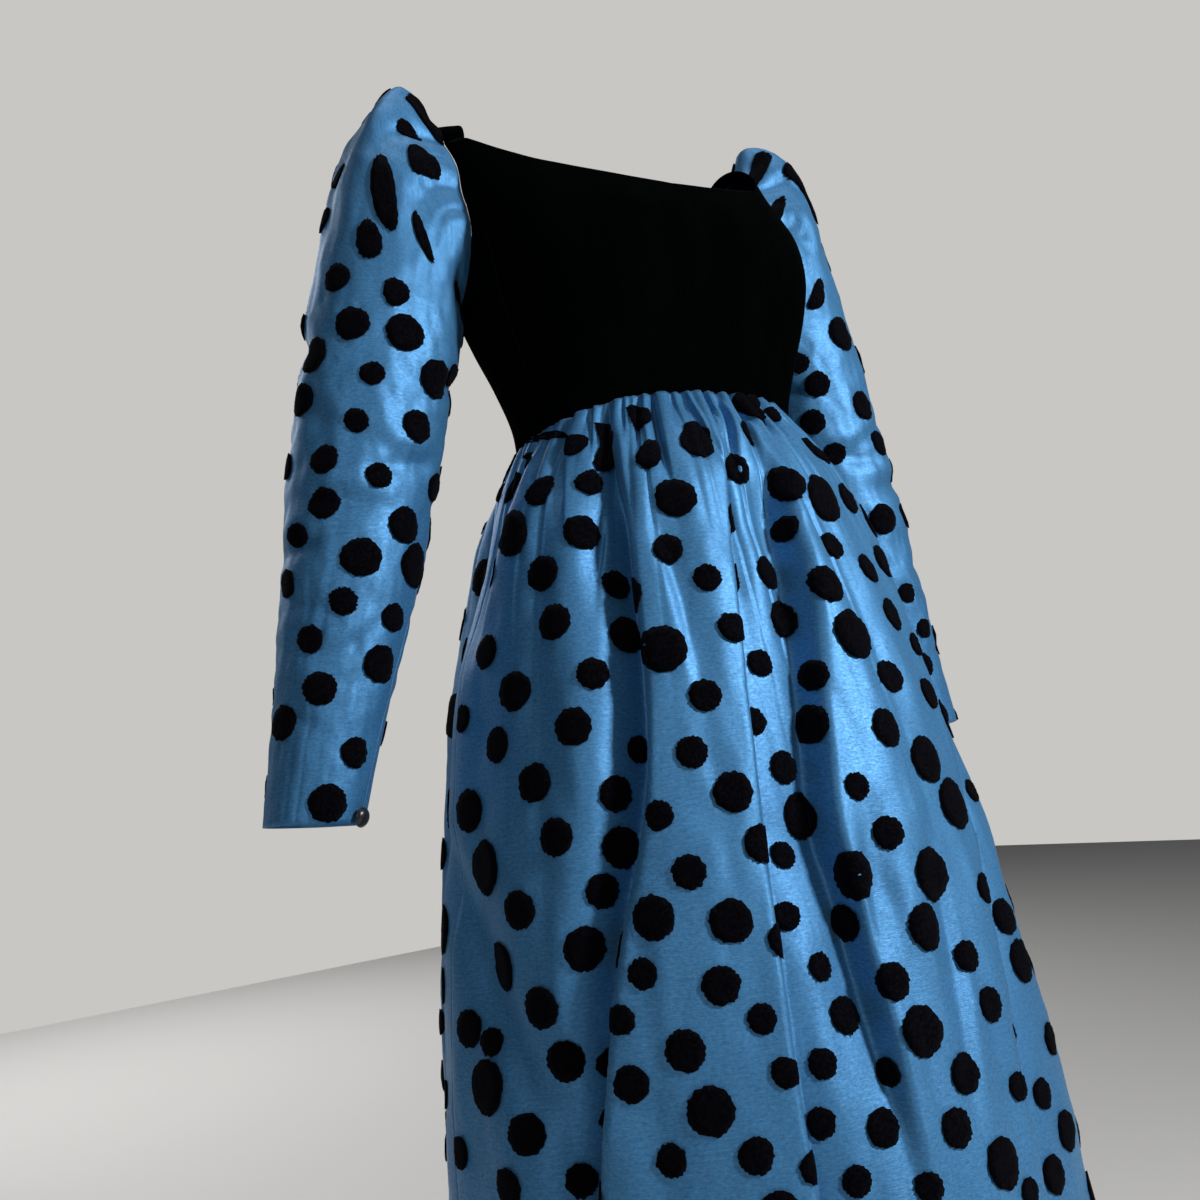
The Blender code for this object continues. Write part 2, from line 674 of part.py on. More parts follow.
def thread_mesh(name, path, radius, sides=6):
    """A closed round thread along a path, with flat ends."""
    ahead = unit(np.gradient(path, axis=0))
    middle = path.mean(axis=0)
    flat = unit(np.cross(path[0] - middle, path[-1] - middle))
    across = unit(np.cross(ahead, flat))
    lift = np.cross(across, ahead)
    turn = np.linspace(0, 2 * math.pi, sides, endpoint=False)
    mesh = bpy.data.meshes.new(name)
    solid = bmesh.new()
    layers = [
        [solid.verts.new(p + radius * (a * math.cos(t) + b * math.sin(t))) for t in turn]
        for p, a, b in zip(path, across, lift)
    ]
    for first, second in zip(layers, layers[1:]):
        link_rows(solid, first, second, True)
    for layer in (layers[0], layers[-1]):
        solid.faces.new(layer)
    bmesh.ops.recalc_face_normals(solid, faces=solid.faces)
    solid.to_mesh(mesh)
    solid.free()
    return mesh


def mirrored(rows):
    return [np.asarray(row) * (-1, 1, 1) for row in rows]


def dress_material(name, colour, roughness):
    material = bpy.data.materials.new(name)
    material.use_nodes = True
    shader = material.node_tree.nodes["Principled BSDF"]
    shader.inputs["Base Color"].default_value = (*colour, 1)
    shader.inputs["Roughness"].default_value = roughness
    shader.inputs["Metallic"].default_value = 0
    return material


def add_object(name, mesh, material, collection):
    thing = bpy.data.objects.new(name, mesh)
    thing.data.materials.append(material)
    collection.objects.link(thing)
    return thing


# ---- Building the pieces ------------------------------------------------------------


def bodice_pieces():
    """Names and grids of the velvet pieces."""
    front_shares = np.concatenate([-FRONT_SHARES[:0:-1], FRONT_SHARES])
    pieces = {
        "bodice_front": panel_grids(
            front_shares,
            PANEL_LEVELS,
            lambda height: -edge_angle(height, "front_angle"),
            lambda height: edge_angle(height, "front_angle"),
            lambda share: neckline_height(share, "front_height"),
        )
    }
    side = panel_grids(
        SIDE_SHARES,
        LOW_LEVELS,
        lambda height: edge_angle(height, "front_angle"),
        lambda height: edge_angle(height, "back_angle"),
        underarm_height,
    )
    back = panel_grids(
        1 - 2 * FRONT_SHARES[::-1],
        PANEL_LEVELS,
        lambda height: edge_angle(height, "back_angle"),
        lambda height: np.full_like(height, math.pi),
        lambda share: neckline_height((1 - share) / 2, "back_height"),
    )
    share, u = np.meshgrid(FRONT_SHARES[-3:], np.linspace(0, 1, 11))
    strap = strap_patch(share, u, SEAM_GAP)
    strap = (strap, strap - strap_normal(share, u) * VELVET_WALL)
    for name, grids in (
        ("bodice_side_front", side),
        ("bodice_back", back),
        ("shoulder_strap", strap),
    ):
        pieces[f"{name}_left"] = grids
        pieces[f"{name}_right"] = tuple(mirrored(rows) for rows in grids)
    return pieces


def sleeve_pieces():
    pieces = {}
    total = len(HEAD_LEVELS) + len(ARM_HEIGHTS)
    for side, hang in ARM_HANGS.items():
        rows = [
            sleeve_grid(i, 61 if i < PLEATED_ROWS else 31, hang) for i in range(total)
        ]
        outer, inner = zip(*rows)
        if side == "right":
            outer, inner = mirrored(outer), mirrored(inner)
        pieces[f"sleeve_{side}"] = (outer, inner)
    return pieces


def skirt_pieces():
    pieces = {}
    for name, start, end in (
        ("skirt_front", -90.0, 90.0),
        ("skirt_back_left", 90.0, 180.0),
        ("skirt_back_right", -180.0, -90.0),
    ):
        segments = round((end - start) / 360 * GATHERS * GATHER_COLUMNS)
        outer, inner = [], []
        for heights, count in (
            (SKIRT_TOP_HEIGHTS, segments + 1),
            (SKIRT_LOW_HEIGHTS, segments // 2 + 1),
        ):
            for height in heights:
                angle = np.radians(np.linspace(start, end, count))
                radius, _ = skirt_envelope(angle, height)
                angle[0] += SEAM_GAP / 2 / radius[0]
                angle[-1] -= SEAM_GAP / 2 / radius[-1]
                level = np.full_like(angle, height)
                outer.append(skirt_point(angle, level))
                inner.append(skirt_point(angle, level, SKIRT_WALL))
        pieces[name] = (outer, inner)
    return pieces


def build():
    for thing in list(bpy.data.objects):
        bpy.data.objects.remove(thing)
    collection = bpy.data.collections.new("evening_dress")
    bpy.context.scene.collection.children.link(collection)
    velvet = dress_material("black_velvet", (0.006, 0.006, 0.008), 0.9)
    taffeta = dress_material("blue_taffeta", (0.08, 0.27, 0.52), 0.45)
    for material, pieces in (
        (velvet, bodice_pieces()),
        (taffeta, sleeve_pieces()),
        (taffeta, skirt_pieces()),
    ):
        for name, (outer, inner) in pieces.items():
            add_object(name, wall_mesh(name, outer, inner), material, collection)
    satin = dress_material("black_satin", (0.010, 0.010, 0.012), 0.35)
    thread = dress_material("black_thread", (0.008, 0.008, 0.010), 0.8)
    for side, hang in ARM_HANGS.items():
        flip = -1 if side == "right" else 1
        rings = [ring * (flip, 1, 1) for ring in button_rings(hang)]
        top = cuff_point(BUTTON_ACROSS, BUTTON_ALONG, BUTTON_TOP, hang) * (flip, 1, 1)
        button = lathe_mesh(f"cuff_button_{side}", rings, top)
        add_object(f"cuff_button_{side}", button, satin, collection)
        path = loop_path(hang) * (flip, 1, 1)
        loop = thread_mesh(f"button_loop_{side}", path, LOOP_THREAD)
        add_object(f"button_loop_{side}", loop, thread, collection)


build()
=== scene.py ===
import math
import random

import bmesh
import bpy
import numpy as np
from mathutils import Matrix, Vector, noise
from mathutils.bvhtree import BVHTree


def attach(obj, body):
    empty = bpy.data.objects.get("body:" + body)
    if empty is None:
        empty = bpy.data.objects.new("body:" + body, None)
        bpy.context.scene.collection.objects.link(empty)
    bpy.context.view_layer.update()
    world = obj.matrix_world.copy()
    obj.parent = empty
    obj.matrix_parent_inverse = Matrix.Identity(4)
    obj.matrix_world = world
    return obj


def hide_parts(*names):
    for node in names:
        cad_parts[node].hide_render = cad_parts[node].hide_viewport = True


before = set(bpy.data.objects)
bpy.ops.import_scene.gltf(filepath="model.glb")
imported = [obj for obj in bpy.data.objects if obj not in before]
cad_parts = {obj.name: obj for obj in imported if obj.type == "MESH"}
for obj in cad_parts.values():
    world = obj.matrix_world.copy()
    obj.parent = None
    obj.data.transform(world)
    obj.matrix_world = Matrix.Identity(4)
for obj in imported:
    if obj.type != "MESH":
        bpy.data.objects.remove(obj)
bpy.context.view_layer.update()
print("frame loaded:", len(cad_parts), "solids")

# ---- shared sizes, in metres; the same surfaces as the solids ----
seam = {
    "gap": 0.0003,
    "waist": -0.2870,
    "waistDip": 0.0240,
    "corner": -0.0300,
    "join": -0.0980,
    "underarm": -0.1720,
    "strapShare": 0.925,
}
cloth = {
    "velvetWall": 0.0014,
    "taffetaWall": 0.0007,
}

# height, half width, front, back, centre y, squareness
torsoTable = np.array([
    (-0.3150, 0.1330, 0.0970, 0.0925, -0.035, 2.10),
    (-0.2870, 0.1340, 0.0980, 0.0930, -0.035, 2.10),
    (-0.2450, 0.1450, 0.1100, 0.0970, -0.034, 2.20),
    (-0.2050, 0.1580, 0.1230, 0.1020, -0.031, 2.35),
    (-0.1650, 0.1670, 0.1310, 0.1070, -0.027, 2.50),
    (-0.1300, 0.1690, 0.1270, 0.1080, -0.022, 2.60),
    (-0.0950, 0.1700, 0.1080, 0.1030, -0.015, 2.75),
    (-0.0600, 0.1730, 0.0850, 0.0900, -0.008, 2.90),
    (-0.0300, 0.1745, 0.0690, 0.0720, -0.002, 3.00),
])
# height, front panel's edge, back panel's edge, in degrees from the front centre
panelEdgeTable = np.array([
    (-0.2870, 75.5, 121.0),
    (-0.2450, 77.0, 120.0),
    (-0.2050, 75.5, 120.0),
    (-0.1500, 73.0, 121.0),
    (-0.1180, 75.0, 120.0),
    (-0.0980, 78.0, 117.5),
    (-0.0550, 78.0, 107.0),
    (-0.0300, 80.7, 99.3),
])
# share of the panel's width, height at the front, height at the back
necklineTable = np.array([
    (0.000, -0.0915, -0.0800),
    (0.350, -0.0865, -0.0770),
    (0.600, -0.0755, -0.0680),
    (0.750, -0.0630, -0.0570),
    (0.860, -0.0460, -0.0430),
    (0.925, -0.0300, -0.0300),
])
# height, x, y, radius across, radius along, tilt
sleeveTable = np.array([
    (-0.172, 0.226, 0.005, 0.0640, 0.0620, 0.030),
    (-0.230, 0.239, 0.008, 0.0650, 0.0620, 0.018),
    (-0.290, 0.252, 0.010, 0.0635, 0.0600, 0.008),
    (-0.345, 0.264, 0.012, 0.0610, 0.0580, 0.002),
    (-0.400, 0.276, 0.013, 0.0575, 0.0550, 0.000),
    (-0.460, 0.291, 0.014, 0.0510, 0.0510, 0.000),
    (-0.525, 0.308, 0.016, 0.0440, 0.0460, 0.003),
    (-0.597, 0.327, 0.018, 0.0380, 0.0400, 0.008),
])
# height, half width, half depth, centre y
skirtTable = np.array([
    (-0.2873, 0.1350, 0.0990, -0.035),
    (-0.3050, 0.1450, 0.1120, -0.034),
    (-0.3300, 0.1590, 0.1290, -0.033),
    (-0.3600, 0.1730, 0.1460, -0.032),
    (-0.4250, 0.1950, 0.1690, -0.031),
    (-0.5000, 0.2150, 0.1900, -0.030),
    (-0.6200, 0.2370, 0.2130, -0.030),
    (-0.7800, 0.2580, 0.2340, -0.030),
    (-0.9500, 0.2680, 0.2480, -0.030),
    (-1.1800, 0.2840, 0.2660, -0.030),
    (-1.4000, 0.3020, 0.2860, -0.030),
])


# ---- numbers and curves ----
def smoothColumn(table, column, at):
    places, values = table[:, 0], table[:, column]
    if places[0] > places[-1]:
        places, values = places[::-1], values[::-1]
    slopes = np.gradient(values, places)
    at = np.clip(np.asarray(at, float), places[0], places[-1])
    i = np.clip(np.searchsorted(places, at) - 1, 0, len(places) - 2)
    step = places[i + 1] - places[i]
    u = (at - places[i]) / step
    return (values[i] * (1 + 2 * u) * (1 - u) ** 2 + slopes[i] * step * u * (1 - u) ** 2
            + values[i + 1] * u * u * (3 - 2 * u) + slopes[i + 1] * step * u * u * (u - 1))


def unit(vectors):
    return vectors / np.maximum(np.linalg.norm(vectors, axis=-1, keepdims=True), 1e-12)


def fade(value, start, end):
    u = np.clip((value - start) / (end - start), 0, 1)
    return u * u * (3 - 2 * u)


def turnTo(degrees, centre):
    return (degrees - centre + 180) % 360 - 180


def hashed(number, salt=0.0):
    # an even spread of values from 0 to 1, the same on each run
    value = np.sin(np.asarray(number, float) * 12.9898 + salt * 78.233) * 43758.5453
    return value - np.floor(value)


def noiseField(points, scale, octaves=3, offset=0.0):
    shift = Vector((offset, offset * 1.7, offset * 0.3))
    flat = np.asarray(points, float).reshape(-1, 3) * scale
    values = [noise.fractal(Vector(p) + shift, 0.8, 2.0, octaves) for p in flat]
    return np.array(values).reshape(np.asarray(points).shape[:-1])


# ---- the bodice's surface ----
def sectionRadius(angle, halfWidth, front, back, squareness):
    across = np.abs(np.sin(angle)) / halfWidth
    along = np.abs(np.cos(angle)) / np.where(np.cos(angle) > 0, front, back)
    return (across**squareness + along**squareness) ** (-1 / squareness)


def sectionPoint(angle, radius, centreY, height):
    parts = np.broadcast_arrays(radius * np.sin(angle), centreY - radius * np.cos(angle), height)
    return np.stack(parts, axis=-1)


def torsoPoint(angle, height):
    halfWidth, front, back, centreY, squareness = (
        smoothColumn(torsoTable, c, height) for c in range(1, 6))
    radius = sectionRadius(angle, halfWidth, front, back, squareness)
    return sectionPoint(angle, radius, centreY, height)


def surfaceNormals(surface, first, second, tiny=1e-4):
    alongFirst = surface(first + tiny, second) - surface(first - tiny, second)
    alongSecond = surface(first, second + tiny) - surface(first, second - tiny)
    return unit(np.cross(alongFirst, alongSecond))


def torsoNormal(angle, height):
    inside = np.clip(height, torsoTable[0, 0] + 2e-4, torsoTable[-1, 0] - 2e-4)
    return surfaceNormals(torsoPoint, angle, inside)


def edgeAngle(height, column):
    return np.radians(smoothColumn(panelEdgeTable, column, height))


def angleFor(length, angle, height):
    ahead = torsoPoint(angle + 1e-4, height) - torsoPoint(angle - 1e-4, height)
    return length * 2e-4 / np.linalg.norm(ahead, axis=-1)


def waistDip(angle):
    fromFront = np.abs((angle + math.pi) % (2 * math.pi) - math.pi)
    return seam["waistDip"] * fade(fromFront, math.radians(30), math.radians(115))


def necklineHeight(share, column):
    inside = smoothColumn(necklineTable, column, np.abs(share))
    return np.where(np.abs(share) >= seam["strapShare"], seam["corner"], inside)


def underarmHeight(share):
    return seam["underarm"] + (seam["join"] - seam["underarm"]) * np.abs(share) ** 2.1


def panelPoint(share, level, start, end, top):
    height = seam["waist"] + (top(share) - seam["waist"]) * level
    lower, upper = start(height), end(height)
    gap = angleFor(seam["gap"] / 2, lower, height)
    lower, upper = lower + gap, upper - gap
    angle = lower + (upper - lower) * (share + 1) / 2
    low = np.clip((seam["join"] - height) / (seam["join"] - seam["waist"]), 0, 1)
    return angle, height - waistDip(angle) * low**2


def strapAngle(share, column):
    height = np.full_like(np.asarray(share, float), seam["corner"])
    edgeAt = edgeAngle(height, column)
    gap = angleFor(seam["gap"] / 2, edgeAt, height)
    if column == 1:
        return share * (edgeAt - gap)
    return math.pi - share * (math.pi - edgeAt - gap)


def strapPatch(share, u, gap=0.0):
    height = np.full_like(np.asarray(share, float), seam["corner"])
    ends = []
    for column in (1, 2):
        angle = strapAngle(share, column)
        point = torsoPoint(angle, height)
        climb = unit(point - torsoPoint(angle, height - 1e-3))
        ends.append((point + climb * gap, climb))
    (first, firstClimb), (last, lastClimb) = ends
    lift = -seam["corner"] / 0.75 / ((firstClimb + lastClimb)[..., 2:] / 2)
    second, third = first + firstClimb * lift, last + lastClimb * lift
    u = np.asarray(u, float)[..., None]
    return (first * (1 - u) ** 3 + 3 * second * u * (1 - u) ** 2
            + 3 * third * u * u * (1 - u) + last * u**3)


def strapNormal(share, u):
    return surfaceNormals(strapPatch, share, u)


def armholeLoop(count):
    ramp = np.linspace(0, 1, 160)
    pieces = []
    for sign, column in ((-1, 1), (1, 2)):
        share = sign * ramp[1:]
        height = underarmHeight(share)
        front, back = edgeAngle(height, 1), edgeAngle(height, 2)
        angle = front + (back - front) * (share + 1) / 2
        low = (torsoPoint(angle, height), torsoNormal(angle, height))
        height = seam["join"] + (seam["corner"] - seam["join"]) * ramp[1:]
        angle = edgeAngle(height, column)
        high = (torsoPoint(angle, height), torsoNormal(angle, height))
        pieces.append([np.concatenate([low[k], high[k]]) for k in (0, 1)])
    over = ramp[1:-1]
    ones = np.ones_like(over)
    strap = (strapPatch(ones, over), strapNormal(ones, over))
    (frontPoints, frontNormals), (backPoints, backNormals) = pieces
    baseAngle = (edgeAngle(seam["underarm"], 1) + edgeAngle(seam["underarm"], 2)) / 2
    base = torsoPoint(baseAngle, seam["underarm"])[None]
    baseNormal = torsoNormal(baseAngle, seam["underarm"])[None]
    points = np.concatenate([base, frontPoints, strap[0], backPoints[::-1], base])
    normals = np.concatenate([baseNormal, frontNormals, strap[1], backNormals[::-1], baseNormal])
    lengths = np.concatenate([[0], np.cumsum(np.linalg.norm(np.diff(points, axis=0), axis=1))])
    at = np.linspace(0, lengths[-1], count)
    points = np.stack([np.interp(at, lengths, points[:, k]) for k in range(3)], axis=-1)
    normals = unit(np.stack([np.interp(at, lengths, normals[:, k]) for k in range(3)], axis=-1))
    ahead = np.gradient(points, axis=0)
    ahead[0] = ahead[-1] = points[1] - points[-2]
    return points, normals, unit(np.cross(unit(ahead), normals))


armhole = armholeLoop(721)


def loopAt(v, k):
    place = np.clip(v, 0, 1) * (len(armhole[k]) - 1)
    i = np.clip(place.astype(int), 0, len(armhole[k]) - 2)
    share = (place - i)[..., None]
    return armhole[k][i] * (1 - share) + armhole[k][i + 1] * share


# ---- the sleeve's surface ----
sleeveShape = {
    # out, up, puff, lift of each arm
    "hang": {"left": (-0.019, 0.014, 0.056, 0.022), "right": (0.004, 0.0, 0.066, 0.006)},
    "seamTurnCuff": 42.0,
    "bodiceClearance": 0.0050,
    "softness": 0.0035,
    "pleats": 12,
    "pleatDepth": 0.0030,
    "creaseStrength": 1.35,
    "crumple": 0.0022,
    "fineCrumple": 0.0008,
    "slitLength": 0.055,
    "slitGap": 0.0012,
    "columns": 150,
    "headRows": 44,
    "armRows": 96,
}
# angle round the arm, height, slant, half angle, half height, depth of each crease
sleeveCreases = (
    (30.0, -0.355, 0.20, 34.0, 0.010, 0.0050),
    (70.0, -0.385, -0.15, 30.0, 0.009, 0.0040),
    (-20.0, -0.325, -0.20, 28.0, 0.010, 0.0040),
    (170.0, -0.350, 0.10, 40.0, 0.012, 0.0045),
    (100.0, -0.210, 0.45, 26.0, 0.011, 0.0045),
    (-60.0, -0.240, -0.40, 26.0, 0.012, 0.0040),
    (20.0, -0.300, 0.50, 30.0, 0.007, 0.0022),
    (60.0, -0.430, 0.30, 26.0, 0.008, 0.0022),
    (10.0, -0.470, -0.30, 22.0, 0.007, 0.0018),
    (120.0, -0.300, -0.50, 24.0, 0.008, 0.0025),
    (-100.0, -0.360, 0.25, 30.0, 0.008, 0.0030),
    (200.0, -0.420, -0.20, 30.0, 0.008, 0.0030),
    (45.0, -0.520, 0.40, 22.0, 0.006, 0.0014),
)


def ringAngle(v, height):
    turn = np.radians(sleeveShape["seamTurnCuff"]) * fade(
        -height, -sleeveTable[0, 0], -sleeveTable[-1, 0])
    return -math.pi / 2 + turn * np.cos(math.pi * v) ** 2 + 2 * math.pi * v


def armPoint(v, height, hang):
    x, y, across, along, tilt = (smoothColumn(sleeveTable, c, height) for c in range(1, 6))
    out, up = hang[:2]
    angle = ringAngle(v, height)
    x = x + out + across * np.sin(angle)
    z = height + up + tilt * (np.sin(angle) - 1) / 2
    limit = smoothColumn(torsoTable, 1, z) + sleeveShape["bodiceClearance"]
    softness = sleeveShape["softness"]
    x = limit + softness * np.logaddexp(0, (x - limit) / softness)
    return np.stack([x, y - along * np.cos(angle), z], axis=-1)


def creasePush(v, height):
    angle = np.degrees(ringAngle(v, height))
    push = np.zeros_like(angle)
    for middle, at, slant, halfAngle, halfHeight, depth in sleeveCreases:
        turn = turnTo(angle, middle)
        line = (height - at - slant * np.radians(turn) * 0.06) / halfHeight
        shape = np.exp(-np.abs(line) ** 1.5) - 0.35 * np.exp(-((line - 2.1) ** 2))
        push -= sleeveShape["creaseStrength"] * depth * np.exp(-((turn / halfAngle) ** 2)) * shape
    return push


def headPoint(v, u, hang):
    start = loopAt(v, 0) + loopAt(v, 2) * seam["gap"]
    top = np.sin(math.pi * v)[..., None] ** 2
    aim = unit(loopAt(v, 1) + loopAt(v, 2) * (0.47 * top - 0.22))
    end = armPoint(v, np.full_like(v, sleeveTable[0, 0]), hang)
    below = armPoint(v, np.full_like(v, sleeveTable[1, 0]), hang)
    down = unit(below - end)
    crown = np.sin(math.pi * v)[..., None] ** 1.2
    second = start + aim * (0.012 + hang[2] * crown)
    second = second + np.array([0.0, 0.0, hang[3]]) * crown
    third = end - down * (0.012 + 0.165 * top**2)
    u = u[..., None]
    return (start * (1 - u) ** 3 + 3 * second * u * (1 - u) ** 2
            + 3 * third * u * u * (1 - u) + end * u**3)


def armHeight(place):
    return sleeveTable[0, 0] + (sleeveTable[-1, 0] - sleeveTable[0, 0]) * np.clip(place - 1, 0, 1)


def sleeveSmooth(v, place, hang):
    # place runs from 0 at the armhole to 1 at the bicep and 2 at the cuff
    head = headPoint(v, np.clip(place, 0, 1), hang)
    arm = armPoint(v, armHeight(place), hang)
    return np.where((place < 1)[..., None], head, arm)


def sleeveGrid(side):
    hang = sleeveShape["hang"][side]
    places = np.concatenate([
        np.linspace(0, 1, sleeveShape["headRows"], endpoint=False) ** 1.25,
        np.linspace(1, 2, sleeveShape["armRows"]),
    ])
    place, v = np.meshgrid(places, np.linspace(0, 1, sleeveShape["columns"]), indexing="ij")
    base = sleeveSmooth(v, place, hang)
    step = 1e-3
    roundArm = unit(sleeveSmooth(np.clip(v + step, 0, 1), place, hang)
                    - sleeveSmooth(np.clip(v - step, 0, 1), place, hang))
    near = np.clip(place + step, 0, 2)
    downArm = sleeveSmooth(v, near, hang) - sleeveSmooth(v, near - 2 * step, hang)
    normal = unit(np.cross(downArm, roundArm))
    top = fade(np.sin(math.pi * v) ** 2, 0.12, 0.45)
    level = np.clip(place, 0, 1)
    strength = (0.12 + level / 0.1 * np.exp(1 - level / 0.1)) * top
    phase = np.clip((v - 0.14) / 0.72, 0, 1) * sleeveShape["pleats"]
    number = np.floor(phase)
    sharp = 1 - np.abs(np.sin(math.pi * phase)) ** 0.9
    pleat = sharp * (0.55 + 0.6 * hashed(number, 3.0))
    outer = base - normal * (sleeveShape["pleatDepth"] * strength * pleat * 1.25)[..., None]
    height = armHeight(place)
    armShare = fade(place, 0.92, 1.05)
    outer = outer + normal * (creasePush(v, height) * armShare)[..., None]
    crumple = noiseField(base * (1, 1, 0.7), 26, 3, 4.0 if side == "left" else 9.0)
    fine = noiseField(base * (1, 1, 0.8), 70, 2, 2.0)
    calm = (1 - 0.5 * fade(place, 1.75, 2.0)) * fade(place, 0.0, 0.1)
    crumple = sleeveShape["crumple"] * crumple + sleeveShape["fineCrumple"] * fine
    outer = outer + normal * (crumple * calm)[..., None]
    gap = np.where(place < 1, seam["gap"], seam["gap"] + sleeveShape["slitGap"] * fade(
        -height, -sleeveTable[-1, 0] - sleeveShape["slitLength"], -sleeveTable[-1, 0]))
    outer[:, 0] += roundArm[:, 0] * gap[:, :1] / 2
    outer[:, -1] -= roundArm[:, -1] * gap[:, -1:] / 2
    inner = outer - normal * cloth["taffetaWall"]
    if side == "right":
        outer, inner = outer * (-1, 1, 1), inner * (-1, 1, 1)
    return outer, inner


# ---- the skirt's surface ----
skirtShape = {
    "gathers": 60,
    "gatherDepth": 0.0096,
    "crumple": 0.0030,
    "fineCrumple": 0.0010,
    "columnsEach": 10,  # for each gather
    "rows": 112,
    "hem": -1.400,
}
# Long folds of the skirt: a line of (height, angle) pairs down the middle of each hollow, then its
# depth and its reach to the wearer's right and left, in metres. The narrow side is steep.
skirtFolds = (
    (((-0.335, -48.0), (-0.403, -45.6), (-0.468, -44.6), (-0.514, -43.9), (-0.558, -44.4),
      (-0.600, -45.6), (-0.646, -48.6), (-0.691, -52.1), (-0.742, -55.3), (-0.864, -60.2),
      (-1.400, -66.0)), 0.034, 0.021, 0.0065),
    (((-0.342, -8.1), (-0.371, -10.8), (-0.432, -15.8), (-0.548, -20.7), (-0.666, -23.4),
      (-0.794, -25.1), (-0.878, -25.1), (-1.400, -29.0)), 0.017, 0.0035, 0.034),
    (((-0.331, 9.7), (-0.367, 6.7), (-0.423, 2.7), (-0.466, 0.2), (-0.508, -3.1), (-0.583, -8.1),
      (-0.649, -11.5), (-0.719, -9.7), (-0.787, -9.5), (-0.900, -9.0)), 0.030, 0.034, 0.009),
    (((-0.470, 42.0), (-0.569, 38.0), (-0.636, 34.5), (-0.690, 31.0), (-0.771, 25.8),
      (-0.833, 22.5), (-0.926, 20.1), (-1.400, 10.0)), 0.015, 0.0035, 0.030),
    (((-0.300, -80.6), (-0.363, -82.3), (-0.433, -85.4), (-0.500, -88.0)), 0.020, 0.034, 0.009),
    (((-0.380, -51.5), (-0.440, -52.7), (-0.475, -52.6)), 0.008, 0.009, 0.003),
    (((-0.375, -36.2), (-0.417, -35.1), (-0.479, -31.8), (-0.560, -30.5)), 0.007, 0.006, 0.016),
    (((-0.600, -97.0), (-0.713, -81.5), (-0.811, -67.4), (-0.900, -60.0)), 0.014, 0.022, 0.030),
    (((-0.630, -1.0), (-0.725, -4.6), (-0.800, -5.5)), 0.007, 0.010, 0.016),
    (((-0.650, 13.0), (-0.750, 11.1), (-0.880, 4.0)), 0.008, 0.020, 0.009),
    (((-0.900, -42.0), (-1.400, -46.0)), 0.024, 0.026, 0.026),
    (((-0.930, -8.0), (-1.400, -12.0)), 0.022, 0.026, 0.022),
    (((-0.420, 62.0), (-0.700, 56.0), (-1.400, 48.0)), 0.020, 0.024, 0.018),
    (((-0.330, 79.0), (-0.700, 68.0), (-1.400, 66.0)), 0.020, 0.026, 0.020),
    (((-0.340, 101.0), (-0.700, 90.0), (-1.400, 84.0)), 0.022, 0.024, 0.026),
    (((-0.330, 124.0), (-0.700, 116.0), (-1.400, 108.0)), 0.024, 0.030, 0.022),
    (((-0.350, 147.0), (-0.700, 142.0), (-1.400, 138.0)), 0.020, 0.024, 0.028),
    (((-0.330, 170.0), (-0.700, 168.0), (-1.400, 166.0)), 0.024, 0.028, 0.022),
    (((-0.340, -101.0), (-0.700, -106.0), (-1.400, -110.0)), 0.018, 0.024, 0.024),
    (((-0.330, -122.0), (-0.700, -128.0), (-1.400, -132.0)), 0.022, 0.030, 0.022),
    (((-0.340, -145.0), (-0.700, -149.0), (-1.400, -154.0)), 0.024, 0.024, 0.028),
    (((-0.350, -166.0), (-0.700, -170.0), (-1.400, -174.0)), 0.020, 0.026, 0.022),
)
# Creases of the gathers in front, from the waist seam down: angle at the seam, angle and
# height at the lower end, depth and reach to each side
waistCreases = (
    (-86.0, -88.0, -0.330, 0.006, 0.0050, 0.0025),
    (-80.0, -79.2, -0.336, 0.009, 0.0060, 0.0025),
    (-73.8, -72.6, -0.342, 0.008, 0.0050, 0.0025),
    (-65.6, -60.9, -0.392, 0.011, 0.0085, 0.0028),
    (-57.8, -55.1, -0.330, 0.007, 0.0045, 0.0022),
    (-51.3, -47.7, -0.372, 0.012, 0.0085, 0.0030),
    (-45.1, -43.8, -0.324, 0.006, 0.0030, 0.0022),
    (-38.5, -39.0, -0.345, 0.012, 0.0035, 0.0028),
    (-32.5, -31.1, -0.366, 0.014, 0.0045, 0.0030),
    (-24.0, -24.9, -0.321, 0.005, 0.0030, 0.0030),
    (-16.8, -13.2, -0.352, 0.011, 0.0110, 0.0035),
    (-4.5, -9.4, -0.334, 0.008, 0.0028, 0.0022),
    (3.5, -6.1, -0.366, 0.013, 0.0065, 0.0028),
    (13.0, 7.0, -0.355, 0.012, 0.0080, 0.0028),
    (22.0, 15.0, -0.350, 0.009, 0.0050, 0.0028),
    (31.0, 24.0, -0.345, 0.010, 0.0060, 0.0028),
    (40.0, 35.0, -0.350, 0.008, 0.0050, 0.0028),
    (50.0, 46.0, -0.340, 0.009, 0.0050, 0.0028),
    (58.0, 55.0, -0.360, 0.010, 0.0060, 0.0028),
)


def skirtEnvelope(angle, height):
    halfWidth, halfDepth, centreY = (smoothColumn(skirtTable, c, height) for c in range(1, 4))
    return sectionRadius(angle, halfWidth, halfDepth, halfDepth, 2.0), centreY


